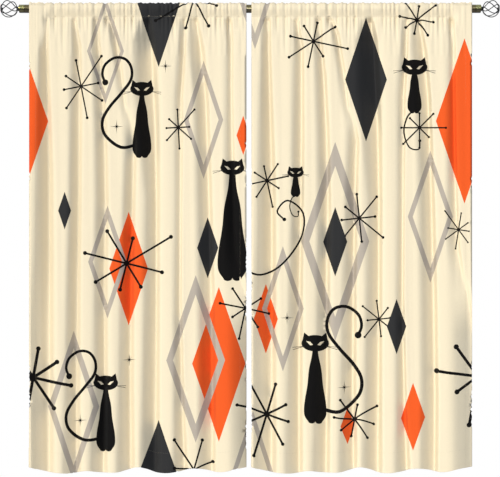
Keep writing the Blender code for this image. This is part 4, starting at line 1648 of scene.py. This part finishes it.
@dataclass
class Studio:
    """A white room with soft light, a pale floor and a camera straight in front."""

    shown: float = 1.702
    floor: float = -2.15
    sky: float = 0.55
    earth: float = 0.30
    fill: Colour = (0.91, 0.98, 1.08)
    warm: Colour = (1.06, 1.0, 0.86)
    daylight_strength: float = 2.9
    daylight_spread: float = math.radians(20)
    daylight_heading: tuple[float, float, float] = (0.64, 0.75, -0.20)
    front_watts: float = 66.0
    strip_watts: float = 9.0
    floor_half: float = 2.0
    floor_y: float = -0.6

    def place(self, name: str, data: bpy.types.ID, spot: Iterable[float],
              heading: Vector) -> bpy.types.Object:
        """Set a lamp or a camera at a spot and turn it to a heading."""
        obj = bpy.data.objects.new(name, data)
        obj.location = spot
        obj.rotation_euler = heading.to_track_quat("-Z", "Y").to_euler()
        bpy.context.scene.collection.objects.link(obj)
        return obj

    def camera(self) -> None:
        """Look along +Y at the middle of the curtains."""
        lens = bpy.data.cameras.new("camera")
        lens.sensor_width = 36.0
        lens.lens = lens.sensor_width * VIEW_DISTANCE / self.shown
        lens.clip_end = 50.0
        spot = (0.0, node_middle("left_ferrule").y - VIEW_DISTANCE, VIEW_HEIGHT)
        bpy.context.scene.camera = self.place("camera", lens, spot, Vector((0, 1, 0)))

    def daylight(self) -> None:
        """Light from one high side window, the same all along the rod."""
        light = bpy.data.lights.new("window", "SUN")
        light.energy = self.daylight_strength
        light.color = self.warm
        light.angle = self.daylight_spread
        self.place("window", light, (0.0, 0.0, 0.0), Vector(self.daylight_heading))

    def lamp(self, name: str, spot: tuple[float, float, float], aim: tuple[float, float, float],
             size: tuple[float, float], watts: float) -> None:
        """Hang one softbox.

        Args:
            name: Its name.
            spot: Where it hangs.
            aim: What it points at.
            size: Width and height.
            watts: Its power.
        """
        light = bpy.data.lights.new(name, "AREA")
        light.shape = "RECTANGLE"
        light.size, light.size_y = size
        light.energy = watts
        light.color = self.fill
        self.place(name, light, spot, Vector(aim) - Vector(spot))

    def world(self) -> None:
        """A white surround that lights more from above than from below."""
        world = bpy.data.worlds.new("white_room")
        world.use_nodes = True
        tree = Tree(world.node_tree)
        ground = world.node_tree.nodes["Background"]
        seen = tree.value("ShaderNodeLightPath", output="Is Camera Ray")
        tree.link(tree.mix(seen, (*self.fill, 1.0), (1.0, 1.0, 1.0, 1.0)), ground.inputs["Color"])
        heading = tree.socket("ShaderNodeTexCoord", output="Generated")
        rise = tree.value("ShaderNodeSeparateXYZ", None, {0: heading}, 2)
        light = self.earth + (rise * 1.2 + 0.5).clamp(0.0, 1.0) * (self.sky - self.earth)
        tree.link(seen + (1.0 - seen) * light, ground.inputs["Strength"])
        bpy.context.scene.world = world

    def ground(self) -> None:
        """A plain pale floor."""
        bm = bmesh.new()
        bmesh.ops.create_grid(bm, x_segments=1, y_segments=1, size=self.floor_half)
        bmesh.ops.translate(bm, verts=bm.verts, vec=(0.0, self.floor_y, self.floor))
        mesh = bpy.data.meshes.new("floor")
        bm.to_mesh(mesh)
        bm.free()
        piece("floor", mesh, Moulded("pale_floor", (0.86, 0.85, 0.83), 0.8, 60.0))

    def build(self) -> None:
        """Set up the camera, the lamps, the surround and the floor."""
        self.camera()
        self.world()
        self.ground()
        self.daylight()
        self.lamp("front", (0.3, -4.8, -0.5), (0.0, 0.0, -0.8), (2.0, 1.6), self.front_watts)
        self.lamp("strip", (0.0, -2.7, 0.75), (0.0, 0.0, 0.0), (3.0, 0.16), self.strip_watts)
        view = bpy.context.scene.view_settings
        view.view_transform, view.look, view.exposure, view.gamma = "Standard", "None", 0.0, 1.0


def main() -> None:
    """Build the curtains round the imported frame."""
    logging.basicConfig(level=logging.INFO, format="%(name)s: %(message)s")
    Studio().build()
    artwork = Print()
    Rod().build()
    for side in Side:
        Ferrule(side).build()
        Finial(side).build()
        Bracket(side).build()
        Panel(side, artwork).build()
    bpy.context.view_layer.update()


if __name__ == "__main__":
    main()
